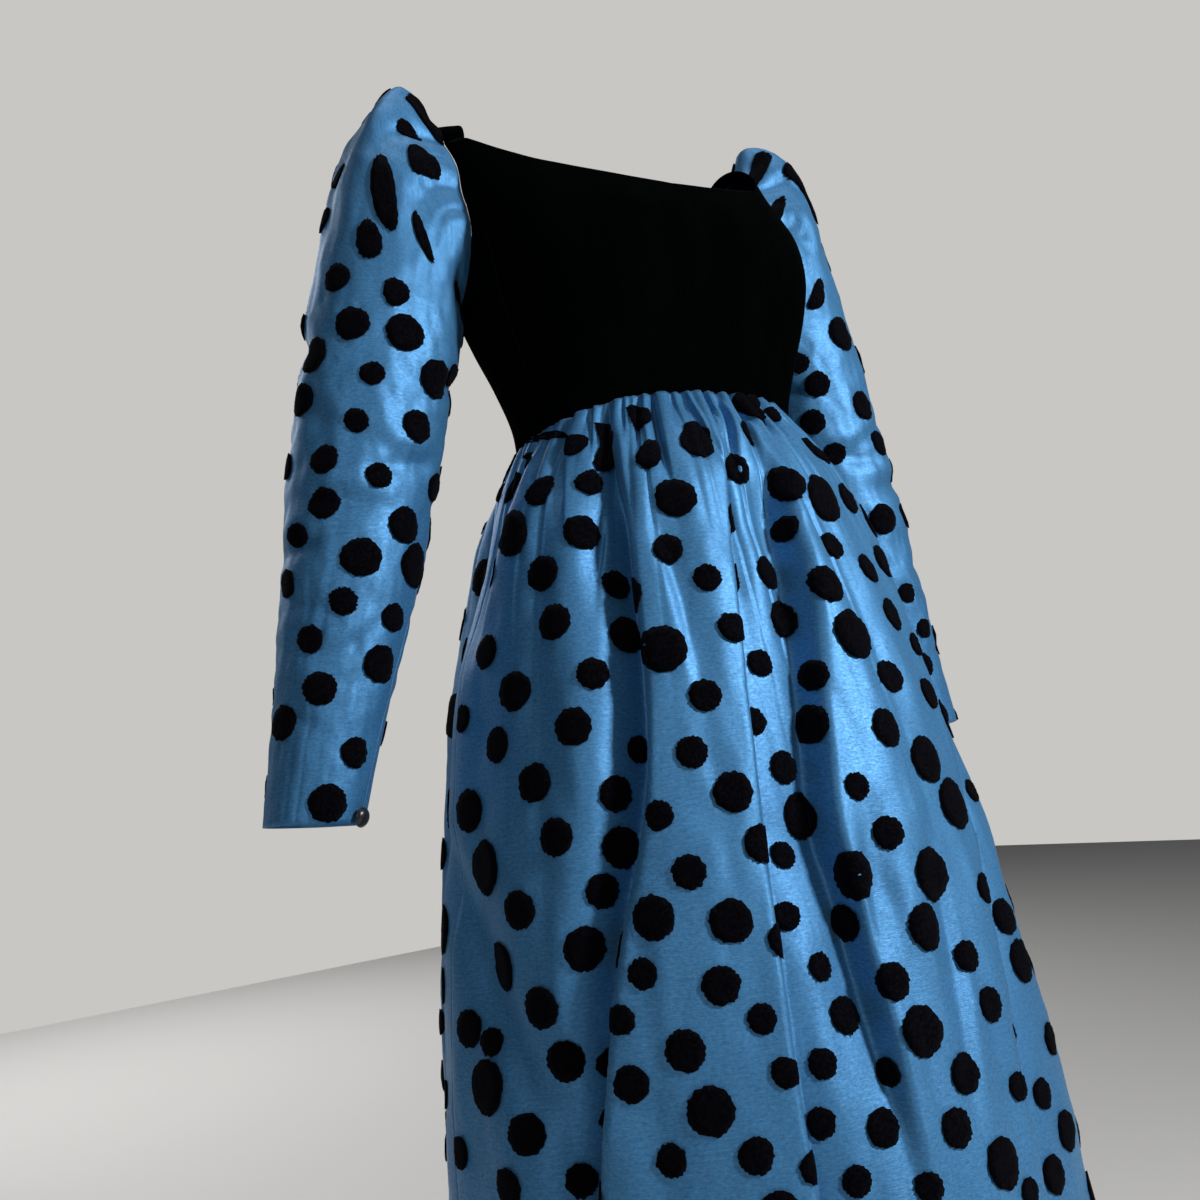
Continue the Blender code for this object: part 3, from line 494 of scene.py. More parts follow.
def gatherHollow(angle, height):
    turns = angle / (2 * math.pi) * skirtShape["gathers"]
    turns = turns + 0.16 * np.sin(turns * 2.1) + 0.10 * np.sin(turns * 0.83 + 1.0)
    number = np.floor(turns)
    vary, second = hashed(number), hashed(number, 5.0)
    lean = turns - number
    lean = lean ** (0.62 + 0.5 * second)
    valley = 1 - np.sin(math.pi * lean) ** (0.55 + 0.35 * second)
    below = seam["waist"] - height
    rise = 0.75 + 0.35 * fade(below, 0.0, 0.015)
    length = 0.030 + 0.15 * vary**2
    decay = np.exp(-((below / length) ** 1.6))
    # the front has its own creases
    degrees = np.degrees(angle)
    own = 1 - 0.40 * fade(degrees, -92, -84) * (1 - fade(degrees, 56, 66))
    return skirtShape["gatherDepth"] * (0.6 + 0.5 * vary) * valley * rise * decay * own


def mediumHollow(angle, height):
    below = seam["waist"] - height
    wander = 0.35 * np.sin(3 * angle + 0.6) + 0.25 * np.sin(7 * angle + 2.0)
    turn = 22 * angle + wander + 0.5 * below * np.sin(2 * angle)
    wave = 1 - np.abs(np.cos(turn / 2 + math.pi / 2)) ** 1.3
    strength = fade(below, 0.0, 0.14) * (1 - 0.55 * fade(below, 0.25, 1.1))
    swell = 0.65 + 0.35 * np.sin(5 * angle + 1.0)
    degrees = np.degrees(angle)
    front = fade(degrees, -95, -80) * (1 - fade(degrees, 40, 60))
    calm = 1 - 0.55 * front * (1 - fade(below, 0.6, 0.8))
    return 0.0085 * wave * strength * swell * calm


def valleyShape(across, right, left):
    # 1 at the bottom; the cloth rises slowly on its wide side and steeply on the other
    wide = np.maximum(right, left)
    reach = np.where(across < 0, right, left)
    power = np.where(reach < wide, 2.4, 1.5)
    return np.exp(-((np.abs(across) / reach) ** power))


def foldField(angle, height):
    # how deep the long folds and front creases are, and how far the cloth leans over them
    hollow, lean = np.zeros_like(angle), np.zeros_like(angle)
    radius, _ = skirtEnvelope(angle, height)
    degrees = np.degrees(angle)
    for line, depth, right, left in skirtFolds:
        heights, angles = np.array(line).T
        centre = np.interp(-height, -heights, angles)
        across = np.radians(turnTo(degrees, centre)) * radius
        length = heights[0] - heights[-1]
        place = (heights[0] - height) / length
        size = fade(place, -0.04, min(0.09 / length, 0.45))
        if heights[-1] > skirtShape["hem"] + 0.01:
            size = size * (1 - fade(place, 1 - min(0.16 / length, 0.5), 1.06))
        hollow = hollow + depth * size * valleyShape(across, right, left)
        steep, side = (left, 1.0) if left < right else (right, -1.0)
        over = max(0.0, 1 - steep / max(left, right) * 2.2)
        bump = np.exp(-(((across * side - steep * 1.5) / (steep * 1.3)) ** 2))
        lean = lean - side * over * 0.16 * depth * size * bump / radius
    for top, low, end, depth, right, left in waistCreases:
        place = (seam["waist"] - height) / (seam["waist"] - end)
        centre = top + (low - top) * np.clip(place, 0, 1.3)
        across = np.radians(turnTo(degrees, centre)) * radius
        size = (0.45 + 0.55 * fade(place, 0.0, 0.3)) * (1 - fade(place, 0.55, 1.25))
        hollow = hollow + depth * size * valleyShape(across, right, left)
        bump = np.exp(-(((across - left * 1.5) / (left * 1.3)) ** 2))
        lean = lean - 0.12 * depth * size * bump / radius
    return hollow, lean


def skirtPoint(angle, height, wall=0.0, extra=0.0):
    folds, lean = foldField(angle, height)
    hollow = gatherHollow(angle, height) + mediumHollow(angle, height) + folds
    edge = np.abs(turnTo(np.degrees(angle), 90.0))
    edge = np.minimum(np.minimum(edge, 180 - edge), np.abs(turnTo(np.degrees(angle), 180.0)))
    angle = angle + lean * fade(edge, 0.0, 3.0)
    radius, centreY = skirtEnvelope(angle, height)
    radius = radius - hollow - wall + extra
    dip = waistDip(angle) * (1 - fade(-height, -seam["waist"], -seam["waist"] + 0.13))
    return sectionPoint(angle, radius, centreY, height - dip)


# ---- grids of points into cloth ----
def flatCut(grid):
    # each point's place on the flat cloth: across from the middle, and down from the top
    across = np.linalg.norm(np.diff(grid, axis=1), axis=2)
    across = np.concatenate([np.zeros((len(grid), 1)), np.cumsum(across, axis=1)], axis=1)
    soft = across.copy()
    for _ in range(8):
        soft[1:-1] = (soft[:-2] + 2 * soft[1:-1] + soft[2:]) / 4
    soft = soft - soft[:, -1:] / 2
    middle = grid[:, grid.shape[1] // 4: -grid.shape[1] // 4]
    steps = np.linalg.norm(np.diff(middle, axis=0), axis=2).mean(axis=1)
    down = np.concatenate([[0], np.cumsum(steps)])
    return np.stack([soft, np.broadcast_to(-down[:, None], soft.shape)], axis=-1)


def quadMesh(name, points, faces, flat=None):
    mesh = bpy.data.meshes.new(name)
    mesh.vertices.add(len(points))
    mesh.vertices.foreach_set("co", np.asarray(points, np.float32).ravel())
    faces = np.asarray(faces, np.int32)
    mesh.loops.add(faces.size)
    mesh.loops.foreach_set("vertex_index", faces.ravel())
    mesh.polygons.add(len(faces))
    mesh.polygons.foreach_set("loop_start", np.arange(0, faces.size, faces.shape[1], dtype=np.int32))
    mesh.update(calc_edges=True)
    if flat is not None:
        layer = mesh.uv_layers.new(name="flatCloth")
        layer.data.foreach_set("uv", np.asarray(flat, np.float32)[faces.ravel()].ravel())
    mesh.validate()
    mesh.shade_smooth()
    return mesh


def gridFaces(rows, columns, offset=0, inward=False):
    i, j = np.meshgrid(np.arange(rows - 1), np.arange(columns - 1), indexing="ij")
    a = offset + i * columns + j
    quads = np.stack([a, a + columns, a + columns + 1, a + 1], axis=-1).reshape(-1, 4)
    return quads[:, ::-1] if inward else quads


def clothWall(name, outer, inner, turned=False):
    # a closed thin wall; its outer side points outwards when columns run anticlockwise
    rows, columns = outer.shape[:2]
    count = rows * columns
    flat = flatCut(outer)
    faces = [gridFaces(rows, columns), gridFaces(rows, columns, count, True)]
    grid = np.arange(count).reshape(rows, columns)
    rim = np.concatenate([grid[0, :-1], grid[:-1, -1], grid[-1, :0:-1], grid[:0:-1, 0]])
    after = np.roll(rim, -1)
    faces.append(np.stack([rim, after, after + count, rim + count], axis=-1))
    faces = np.concatenate(faces)
    if turned:
        faces = faces[:, ::-1]
    points = np.concatenate([outer.reshape(-1, 3), inner.reshape(-1, 3)])
    mesh = quadMesh(name, points, faces, np.concatenate([flat.reshape(-1, 2)] * 2))
    skin = quadMesh(name + "Skin", outer.reshape(-1, 3),
                    gridFaces(rows, columns)[:, ::-1] if turned else gridFaces(rows, columns),
                    flat.reshape(-1, 2))
    return mesh, skin, flat


def addPiece(name, mesh, material):
    piece = bpy.data.objects.new(name, mesh)
    bpy.context.scene.collection.objects.link(piece)
    mesh.materials.append(material)
    return piece


# ---- materials ----
def shaderTree(name, settings):
    # a material with its one shader; settings are that shader's plain inputs
    made = bpy.data.materials.new(name)
    made.use_nodes = True
    shader = made.node_tree.nodes["Principled BSDF"]
    for socket, value in settings.items():
        colour = hasattr(value, "__len__") and len(value) == 3
        shader.inputs[socket].default_value = (*value, 1) if colour else value
    made.diffuse_color = shader.inputs["Base Color"].default_value
    return made, shader


class Tree:
    # adds nodes to a tree and links them as it goes
    def __init__(self, tree):
        self.nodes, self.links = tree.nodes, tree.links

    def add(self, kind, inputs=(), **settings):
        node = self.nodes.new(kind)
        for key, value in settings.items():
            setattr(node, key, value)
        for socket, value in dict(inputs).items():
            self.put(node.inputs[socket], value)
        return node

    def put(self, socket, value):
        if isinstance(value, bpy.types.NodeSocket):
            self.links.new(value, socket)
        else:
            socket.default_value = value

    def scaled(self, place, scale):
        return self.add("ShaderNodeVectorMath", {0: place, 1: scale}, operation="MULTIPLY").outputs[0]

    def noise(self, place, scale, detail=2.0, rough=0.5):
        return self.add("ShaderNodeTexNoise", {
            "Vector": place, "Scale": scale, "Detail": detail, "Roughness": rough}).outputs["Fac"]

    def spread(self, value, low, high, start=0.0, end=1.0):
        return self.add("ShaderNodeMapRange", {
            "Value": value, "From Min": low, "From Max": high, "To Min": start,
            "To Max": end}).outputs["Result"]

    def mixed(self, share, first, second):
        node = self.add("ShaderNodeMix", data_type="RGBA")
        for socket, value in zip((0, 6, 7), (share, first, second)):
            self.put(node.inputs[socket], value)
        return node.outputs[2]

    def sums(self, *values, operation="ADD"):
        total = values[0]
        for value in values[1:]:
            total = self.add("ShaderNodeMath", {0: total, 1: value}, operation=operation).outputs[0]
        return total


taffetaLook = {
    "blue": (0.048, 0.198, 0.410),
    "pale": (0.076, 0.276, 0.530),
    "deep": (0.028, 0.134, 0.300),
    "roughness": 0.47,
    "thread": 0.5,  # how much of the shine takes the thread's own colour
    "sheen": 0.10,
    "slubs": 0.34,  # how strongly the thick threads show
    "threadsPerMetre": 1900.0,
}


def taffetaMaterial(name):
    look = taffetaLook
    made, shader = shaderTree(name, {
        "Base Color": look["blue"], "Roughness": look["roughness"],
        "Sheen Weight": look["sheen"], "Sheen Roughness": 0.35, "Sheen Tint": (0.62, 0.82, 1.0),
        "Metallic": look["thread"], "Specular IOR Level": 0.42})
    tree = Tree(made.node_tree)
    cut = tree.add("ShaderNodeUVMap", uv_map="flatCloth").outputs[0]
    # thick threads run across the cloth, and the fine ones both ways
    slubs = tree.noise(tree.scaled(cut, (110.0, 1500.0, 1.0)), 1.0, 3.0, 0.7)
    longSlubs = tree.noise(tree.scaled(cut, (30.0, 700.0, 1.0)), 1.0, 2.0, 0.6)
    mottle = tree.noise(tree.scaled(cut, (300.0, 420.0, 1.0)), 1.0, 4.0, 0.7)
    patches = tree.noise(tree.scaled(cut, (5.0, 3.0, 1.0)), 1.0, 2.0, 0.5)
    weft = tree.add("ShaderNodeTexWave", {
        "Vector": tree.scaled(cut, (0.0, look["threadsPerMetre"], 0.0)), "Scale": 0.31,
        "Distortion": 0.6, "Detail": 1.0}, bands_direction="Y").outputs["Fac"]
    warp = tree.add("ShaderNodeTexWave", {
        "Vector": tree.scaled(cut, (look["threadsPerMetre"] * 1.3, 0.0, 0.0)), "Scale": 0.31,
        "Distortion": 0.4, "Detail": 1.0}, bands_direction="X").outputs["Fac"]
    light = tree.sums(
        tree.spread(slubs, 0.3, 0.7, 0.0, 0.34), tree.spread(longSlubs, 0.35, 0.7, 0.0, 0.10),
        tree.spread(mottle, 0.3, 0.7, 0.0, 0.50), tree.spread(patches, 0.3, 0.7, 0.0, 0.16))
    colour = tree.mixed(tree.spread(light, 0.25, 0.95), (*look["deep"], 1), (*look["pale"], 1))
    tree.put(shader.inputs["Base Color"], colour)
    tree.put(shader.inputs["Roughness"], tree.spread(
        light, 0.2, 1.0, look["roughness"] + 0.08, look["roughness"] - 0.06))
    height = tree.sums(tree.spread(slubs, 0.2, 0.8, 0.0, look["slubs"]),
                       tree.spread(weft, 0.0, 1.0, 0.0, 0.055), tree.spread(warp, 0.0, 1.0, 0.0, 0.04),
                       tree.spread(mottle, 0.2, 0.8, 0.0, 0.10))
    bump = tree.add("ShaderNodeBump", {"Strength": 0.55, "Distance": 0.0006, "Height": height})
    tree.put(shader.inputs["Normal"], bump.outputs["Normal"])
    return made


velvetLook = {
    "black": (0.0003, 0.0006, 0.0006),
    "brushed": (0.0012, 0.0018, 0.0018),
    "sheen": 0.014,
    "pileBump": 0.5,
}


def velvetMaterial(name):
    look = velvetLook
    made, shader = shaderTree(name, {
        "Base Color": look["black"], "Roughness": 0.95,
        "Sheen Weight": look["sheen"], "Sheen Roughness": 0.28, "Sheen Tint": (0.70, 0.74, 0.80),
        "Specular IOR Level": 0.0})
    tree = Tree(made.node_tree)
    place = tree.add("ShaderNodeTexCoord").outputs["Object"]
    pile = tree.noise(place, 1700.0, 2.0, 0.6)
    brushed = tree.noise(tree.scaled(place, (26.0, 26.0, 6.0)), 1.0, 3.0, 0.55)
    nap = tree.noise(tree.scaled(place, (420.0, 420.0, 90.0)), 1.0, 2.0, 0.6)
    share = tree.sums(tree.spread(brushed, 0.42, 0.75, 0.0, 0.55), tree.spread(nap, 0.4, 0.75, 0.0, 0.25),
                      tree.spread(pile, 0.5, 0.9, 0.0, 0.3))
    tree.put(shader.inputs["Base Color"],
             tree.mixed(share, (*look["black"], 1), (*look["brushed"], 1)))
    bump = tree.add("ShaderNodeBump", {
        "Strength": look["pileBump"], "Distance": 0.0006,
        "Height": tree.sums(pile, tree.spread(brushed, 0.0, 1.0, 0.0, 1.6))})
    tree.put(shader.inputs["Normal"], bump.outputs["Normal"])
    return made


def pileMaterial(name):
    # the dots' cut pile: blue black on its flat top, and matt
    made, shader = shaderTree(name, {
        "Base Color": (0.004, 0.004, 0.007), "Roughness": 0.9,
        "Sheen Weight": 0.022, "Sheen Roughness": 0.35, "Sheen Tint": (0.55, 0.60, 0.75),
        "Specular IOR Level": 0.02})
    tree = Tree(made.node_tree)
    place = tree.add("ShaderNodeTexCoord").outputs["Object"]
    tufts = tree.noise(place, 1500.0, 3.0, 0.7)
    clumps = tree.noise(place, 420.0, 2.0, 0.6)
    tree.put(shader.inputs["Base Color"], tree.mixed(
        tree.spread(tree.sums(tufts, clumps), 0.9, 1.35), (0.0008, 0.0008, 0.0014, 1),
        (0.0042, 0.0042, 0.0080, 1)))
    bump = tree.add("ShaderNodeBump", {
        "Strength": 0.9, "Distance": 0.0010, "Height": tree.sums(tufts, clumps)})
    tree.put(shader.inputs["Normal"], bump.outputs["Normal"])
    return made


velvet = velvetMaterial("velvetPile")
taffeta = taffetaMaterial("slubTaffeta")
pile = pileMaterial("dotPile")
satin, _ = shaderTree("blackSatin", {
    "Base Color": (0.006, 0.006, 0.008), "Roughness": 0.32, "Sheen Weight": 0.1})
threadPaint, _ = shaderTree("blackThread", {"Base Color": (0.006, 0.006, 0.008), "Roughness": 0.7})
pieces = {}

# ---- the bodice and its straps ----
bodiceShape = {
    "frontColumns": 121,
    "sideColumns": 41,
    "backColumns": 61,
    "rows": 84,
}


def panelGrids(shares, start, end, top):
    levels = np.linspace(1, 0, bodiceShape["rows"])
    if top is not underarmHeight:
        join = (seam["join"] - seam["waist"]) / (seam["corner"] - seam["waist"])
        levels[np.argmin(np.abs(levels - join))] = join
    level, share = np.meshgrid(levels, shares, indexing="ij")
    angle, height = panelPoint(share, level, start, end, top)
    outer = torsoPoint(angle, height)
    return outer, outer - torsoNormal(angle, height) * cloth["velvetWall"]


def frontTop(share):
    return necklineHeight(share, 1)


def backTop(share):
    return necklineHeight((1 - share) / 2, 2)


def bodiceGrids():
    grids = {"bodice_front": panelGrids(
        np.linspace(-1, 1, bodiceShape["frontColumns"]),
        lambda height: -edgeAngle(height, 1), lambda height: edgeAngle(height, 1), frontTop)}
    grids["bodice_side_front"] = panelGrids(
        np.linspace(-1, 1, bodiceShape["sideColumns"]),
        lambda height: edgeAngle(height, 1), lambda height: edgeAngle(height, 2), underarmHeight)
    grids["bodice_back"] = panelGrids(
        np.linspace(-1, 1, bodiceShape["backColumns"]),
        lambda height: edgeAngle(height, 2),
        lambda height: np.full_like(height, math.pi), backTop)
    share, u = np.meshgrid(np.linspace(seam["strapShare"], 1, 9), np.linspace(0, 1, 61))
    strap = strapPatch(share, u, seam["gap"])
    grids["shoulder_strap"] = (strap, strap - strapNormal(share, u) * cloth["velvetWall"])
    return grids


for part, (outer, inner) in bodiceGrids().items():
    strapLike = part == "shoulder_strap"
    for side, flip in (("left", 1), ("right", -1)):
        name = part if part == "bodice_front" else f"{part}_{side}"
        if part == "bodice_front" and side == "right":
            continue
        mirror = (flip, 1, 1)
        turned = (flip < 0) != strapLike
        mesh, _, flat = clothWall(name, outer * mirror, inner * mirror, turned)
        piece = addPiece(f"{name}Cloth", mesh, velvet)
        pieces[name] = (piece, flat)
print("bodice made")

# ---- the sleeves ----
skins, grids, dotPieces = {}, {}, {}
for side in ("left", "right"):
    outer, inner = sleeveGrid(side)
    mesh, skin, flat = clothWall(f"sleeve_{side}", outer, inner, side == "right")
    pieces[f"sleeve_{side}"] = (addPiece(f"sleeve_{side}Cloth", mesh, taffeta), flat)
    skins[f"sleeve_{side}"] = (skin, flat)
    grids[f"sleeve_{side}"] = outer
print("sleeves made")

# ---- the skirt ----
for name, start, end in (
        ("skirt_front", -90.0, 90.0),
        ("skirt_back_left", 90.0, 180.0),
        ("skirt_back_right", -180.0, -90.0)):
    columns = round((end - start) / 6 * skirtShape["columnsEach"]) + 1
    place = np.linspace(0, 1, skirtShape["rows"])
    top = skirtTable[0, 0]
    heights = top + (skirtShape["hem"] - top) * (0.25 * place + 0.75 * place**1.9)
    height, angle = np.meshgrid(heights, np.radians(np.linspace(start, end, columns)), indexing="ij")
    radius, _ = skirtEnvelope(angle, height)
    angle[:, 0] += seam["gap"] / 2 / radius[:, 0]
    angle[:, -1] -= seam["gap"] / 2 / radius[:, -1]
    plain = skirtPoint(angle, height)
    crumple = noiseField(plain * (1, 1, 0.55), 13, 3, 5.0) * skirtShape["crumple"]
    crumple = crumple + noiseField(plain * (1, 1, 0.8), 42, 2, 1.0) * skirtShape["fineCrumple"]
    crumple = crumple * fade(seam["waist"] - height, 0.0, 0.03)
    outer = skirtPoint(angle, height, 0.0, crumple)
    inner = skirtPoint(angle, height, cloth["taffetaWall"], crumple)
    mesh, skin, flat = clothWall(name, outer, inner)
    pieces[name] = (addPiece(f"{name}Cloth", mesh, taffeta), flat)
    skins[name] = (skin, flat)
    grids[name] = outer
print("skirt made")


# ---- the raised dots ----
dotShape = {
    "pile": 0.0020,  # height of the cut pile
    "fray": 0.0009,  # how far its rim is frayed
    "wobble": 0.0016,  # how far its outline strays from a circle
    "fineAbove": 0.075,  # dots this near the top of a piece bend more closely
    "spacing": 0.0475,
    "jitter": 0.011,
    "apart": 0.0085,  # the least cloth between two dots
    "sizes": (0.021, 0.024, 0.027, 0.029, 0.031, 0.034, 0.039),
    "fromTop": 0.0008,  # no dot is nearer to the cloth's ends and sides than this
    "fromSide": 0.0010,
    "seed": 7,
}
# dots that can be seen in front: across and down the flat cloth, and size, in millimetres
dotChart = {
    "sleeve_left": (
        (-46, -16, 25), (-116, -138, 30), (-84, -207, 36), (-144, -229, 20), (-135, -257, 26),
        (-88, -285, 31), (-151, -296, 25), (-80, -325, 25), (-142, -334, 23), (-114, -408, 32),
        (-110, -485, 22), (-98, -522, 20),
    ),
    "sleeve_right": (
        (-95, -35, 20), (-138, -40, 32), (-156, -98, 24), (-98, -107, 36), (-1, -121, 23),
        (10, -146, 20), (-68, -159, 25), (-38, -197, 25), (-90, -204, 22), (-57, -238, 29),
        (-101, -242, 32), (-164, -260, 21), (-26, -260, 30), (-140, -275, 34), (-84, -282, 20),
        (-20, -295, 27), (-76, -322, 20), (-128, -324, 28), (-58, -352, 24), (-105, -369, 22),
        (-169, -370, 25), (-63, -388, 26), (-134, -410, 31), (-42, -410, 20), (-101, -437, 32),
        (-156, -441, 38), (-35, -447, 23), (-91, -471, 22), (-136, -485, 24), (-68, -497, 22),
        (-127, -521, 31), (-80, -537, 26), (-48, -559, 28), (-111, -587, 24), (-90, -623, 29),
    ),
    "skirt_front": (
        (103, -23, 20), (-133, -28, 30), (-291, -33, 20), (-218, -42, 22), (-178, -51, 34),
        (24, -53, 22), (-56, -62, 34), (-107, -75, 24), (-234, -85, 27), (-179, -89, 22), (-9, -91, 30),
        (44, -109, 36), (129, -117, 26), (-87, -119, 33), (-262, -121, 36), (84, -123, 38),
        (-202, -135, 30), (-32, -138, 24), (38, -149, 27), (-102, -162, 25), (-246, -164, 29),
        (83, -168, 24), (160, -178, 30), (-187, -182, 24), (1, -185, 28), (119, -188, 26),
        (-80, -190, 21), (-147, -195, 27), (54, -203, 32), (-244, -207, 28), (-316, -218, 26),
        (-189, -224, 30), (2, -225, 34), (128, -229, 28), (-73, -232, 23), (-131, -242, 36),
        (60, -246, 40), (-224, -252, 24), (-292, -255, 29), (154, -255, 20), (-40, -260, 21),
        (-361, -267, 21), (10, -275, 27), (-110, -281, 24), (86, -282, 27), (-250, -290, 28),
        (-322, -294, 26), (142, -298, 26), (-61, -304, 20), (-5, -312, 33), (-204, -313, 20),
        (-130, -321, 23), (60, -322, 30), (-294, -327, 28), (-372, -341, 31), (-44, -341, 25),
        (-233, -343, 26), (100, -350, 36), (-110, -353, 28), (-166, -362, 21), (16, -362, 20),
        (-286, -368, 27), (-43, -378, 34), (-239, -382, 30), (199, -382, 20), (-362, -385, 40),
        (120, -387, 40), (-102, -391, 27), (29, -398, 24), (-158, -403, 24), (-70, -403, 20),
        (-261, -410, 25), (163, -415, 20), (-327, -416, 27), (-10, -423, 34), (-190, -430, 30),
        (61, -433, 39), (-138, -439, 30), (-81, -444, 20), (-280, -447, 31), (124, -453, 23),
        (-29, -456, 26), (-360, -457, 36), (-103, -457, 24), (-204, -466, 21), (38, -467, 33),
        (-153, -479, 26), (-65, -481, 20), (174, -481, 28), (-320, -484, 29), (-226, -494, 20),
        (76, -495, 22), (-3, -497, 26), (-399, -500, 27), (-131, -504, 20), (-376, -509, 20),
        (-54, -516, 26), (177, -516, 33), (-185, -517, 27), (-310, -521, 28), (84, -531, 25),
        (7, -533, 35), (-224, -535, 25), (-383, -539, 38), (-122, -539, 20), (-81, -541, 20),
        (-173, -556, 32), (-29, -556, 20), (117, -559, 20), (-282, -564, 22), (-348, -568, 28),
        (36, -568, 28), (-87, -577, 20), (188, -578, 25), (-202, -584, 21), (-147, -586, 23),
        (-429, -588, 23), (-43, -588, 25), (90, -590, 20), (14, -598, 26), (-110, -599, 20),
        (-314, -601, 23), (-369, -602, 25), (147, -608, 22), (-69, -615, 20), (-21, -628, 20),
        (48, -630, 34), (168, -641, 29), (70, -656, 20), (132, -661, 27),
    ),
    "skirt_back_right": (
        (124, -42, 20), (109, -114, 33), (125, -281, 21), (168, -404, 39), (168, -447, 28),
        (105, -484, 20),
    ),
}


def dotTemplate(name, rings):
    # rings of (count, radius, lift, rim) from the middle of the top to the underside
    points, lifts, rims = [(0.0, 0.0, 0.0)], [1.0], [0.0]
    faces, before = [], None
    for count, radius, lift, rim in rings:
        first = len(points)
        for k in range(count):
            turn = 2 * math.pi * k / count
            points.append((radius * math.cos(turn), radius * math.sin(turn), 0.0))
        lifts += [lift] * count
        rims += [rim] * count
        now = (first, count)
        if before is None:
            faces += [(0, first + k, first + (k + 1) % count) for k in range(count)]
        else:
            faces += ringFaces(before, now)
        before = now
    first, count = before
    faces.append(tuple(first + k for k in reversed(range(count))))
    mesh = bpy.data.meshes.new(name)
    mesh.from_pydata(points, [], faces)
    for key, values in (("lift", lifts), ("rim", rims)):
        mesh.attributes.new(key, "FLOAT", "POINT").data.foreach_set("value", values)
    place = mesh.attributes.new("fromMiddle", "FLOAT_VECTOR", "POINT")
    place.data.foreach_set("vector", np.array(points).ravel())
    return addPiece(name, mesh, pile)


def ringFaces(inner, outer):
    # joins two rings of points, one of which may have several times as many as the other
    (a, few), (b, many) = inner, outer
    swapped = few > many
    if swapped:
        (a, few), (b, many) = outer, inner
    times = many // few
    faces = []
    for k in range(few):
        here, there = a + k, a + (k + 1) % few
        rim = [b + (k * times + j) % many for j in range(times + 1)]
        half = times // 2
        faces += [(here, rim[j], rim[j + 1]) for j in range(half)]
        between = rim[half:half + 1 + times % 2]
        faces.append((here, *between, there))
        faces += [(there, rim[j], rim[j + 1]) for j in range(half + times % 2, times)]
    return [face[::-1] for face in faces] if swapped else faces


def dotTree():
    tree = bpy.data.node_groups.new("cutPileDots", "GeometryNodeTree")
    face = tree.interface
    face.new_socket("Geometry", in_out="INPUT", socket_type="NodeSocketGeometry")
    for name, kind in (("Dot", "NodeSocketObject"), ("Fray", "NodeSocketFloat"),
                       ("Wobble", "NodeSocketFloat"), ("Seed", "NodeSocketInt"),
                       ("Material", "NodeSocketMaterial")):
        face.new_socket(name, in_out="INPUT", socket_type=kind)
    face.new_socket("Geometry", in_out="OUTPUT", socket_type="NodeSocketGeometry")
    build = Tree(tree)
    given = build.add("NodeGroupInput").outputs

    def named(name, kind="FLOAT"):
        return build.add(
            "GeometryNodeInputNamedAttribute", {"Name": name}, data_type=kind).outputs["Attribute"]

    one = build.add("GeometryNodeObjectInfo", {"Object": given["Dot"]}).outputs["Geometry"]
    spread = build.add("GeometryNodeInstanceOnPoints", {
        "Points": given["Geometry"], "Instance": one, "Scale": named("radius")})
    real = build.add("GeometryNodeRealizeInstances", {"Geometry": spread.outputs[0]}).outputs[0]
    place = build.add("GeometryNodeInputPosition").outputs[0]
    shape = build.add("ShaderNodeTexNoise", {"Vector": place, "Scale": 75.0, "Detail": 2.0}).outputs["Fac"]
    shape = build.sums(build.sums(shape, 0.5, operation="SUBTRACT"), given["Wobble"], operation="MULTIPLY")
    hair = build.add("FunctionNodeRandomValue", {2: -1.0, 3: 1.0, "Seed": given["Seed"]},
                     data_type="FLOAT").outputs[1]
    hair = build.sums(hair, given["Fray"], named("rim"), operation="MULTIPLY")
    push = build.add("ShaderNodeVectorMath", {
        0: named("fromMiddle", "FLOAT_VECTOR"), 3: build.sums(shape, hair)}, operation="SCALE").outputs[0]
    moved = build.add("GeometryNodeSetPosition", {"Geometry": real, "Offset": push}).outputs[0]
    done = build.add("GeometryNodeSetMaterial", {"Geometry": moved, "Material": given["Material"]})
    build.links.new(done.outputs[0], build.add("NodeGroupOutput").inputs[0])
    return tree


def clothStretch(outer, flat, u, v, reach):
    # how the cloth on the body is stretched against the flat cloth around one place
    levels = -flat[:, 0, 1]
    i = int(np.clip(np.searchsorted(levels, -v), 1, len(levels) - 2))
    near = np.nonzero(np.abs(flat[i, :, 0] - u) < reach)[0]
    first, last = (near[0], near[-1]) if len(near) > 2 else (0, 2)
    first = min(first, flat.shape[1] - 3)
    last = max(last, first + 2)
    alongRow = np.diff(outer[i, first:last + 1], axis=0)
    across = np.linalg.norm(alongRow, axis=1).sum() / (flat[i, last, 0] - flat[i, first, 0])
    block, cut = outer[i - 1:i + 2, first:last + 1], flat[i - 1:i + 2, first:last + 1]
    span = levels[i + 1] - levels[i - 1]
    step = (block[-1] - block[0]) / span
    drift = ((cut[-1, :, 0] - cut[0, :, 0]) / span).mean()
    ways = unit(np.gradient(outer[i, first:last + 1], axis=0))
    lean = (step * ways).sum(1).mean() - drift * across
    down = math.sqrt(max((step * step).sum(1).mean() - lean * lean, 0.09))
    return np.clip(across, 0.6, 1.8), np.clip(down, 0.6, 2.3), np.clip(lean, -0.3, 0.3)


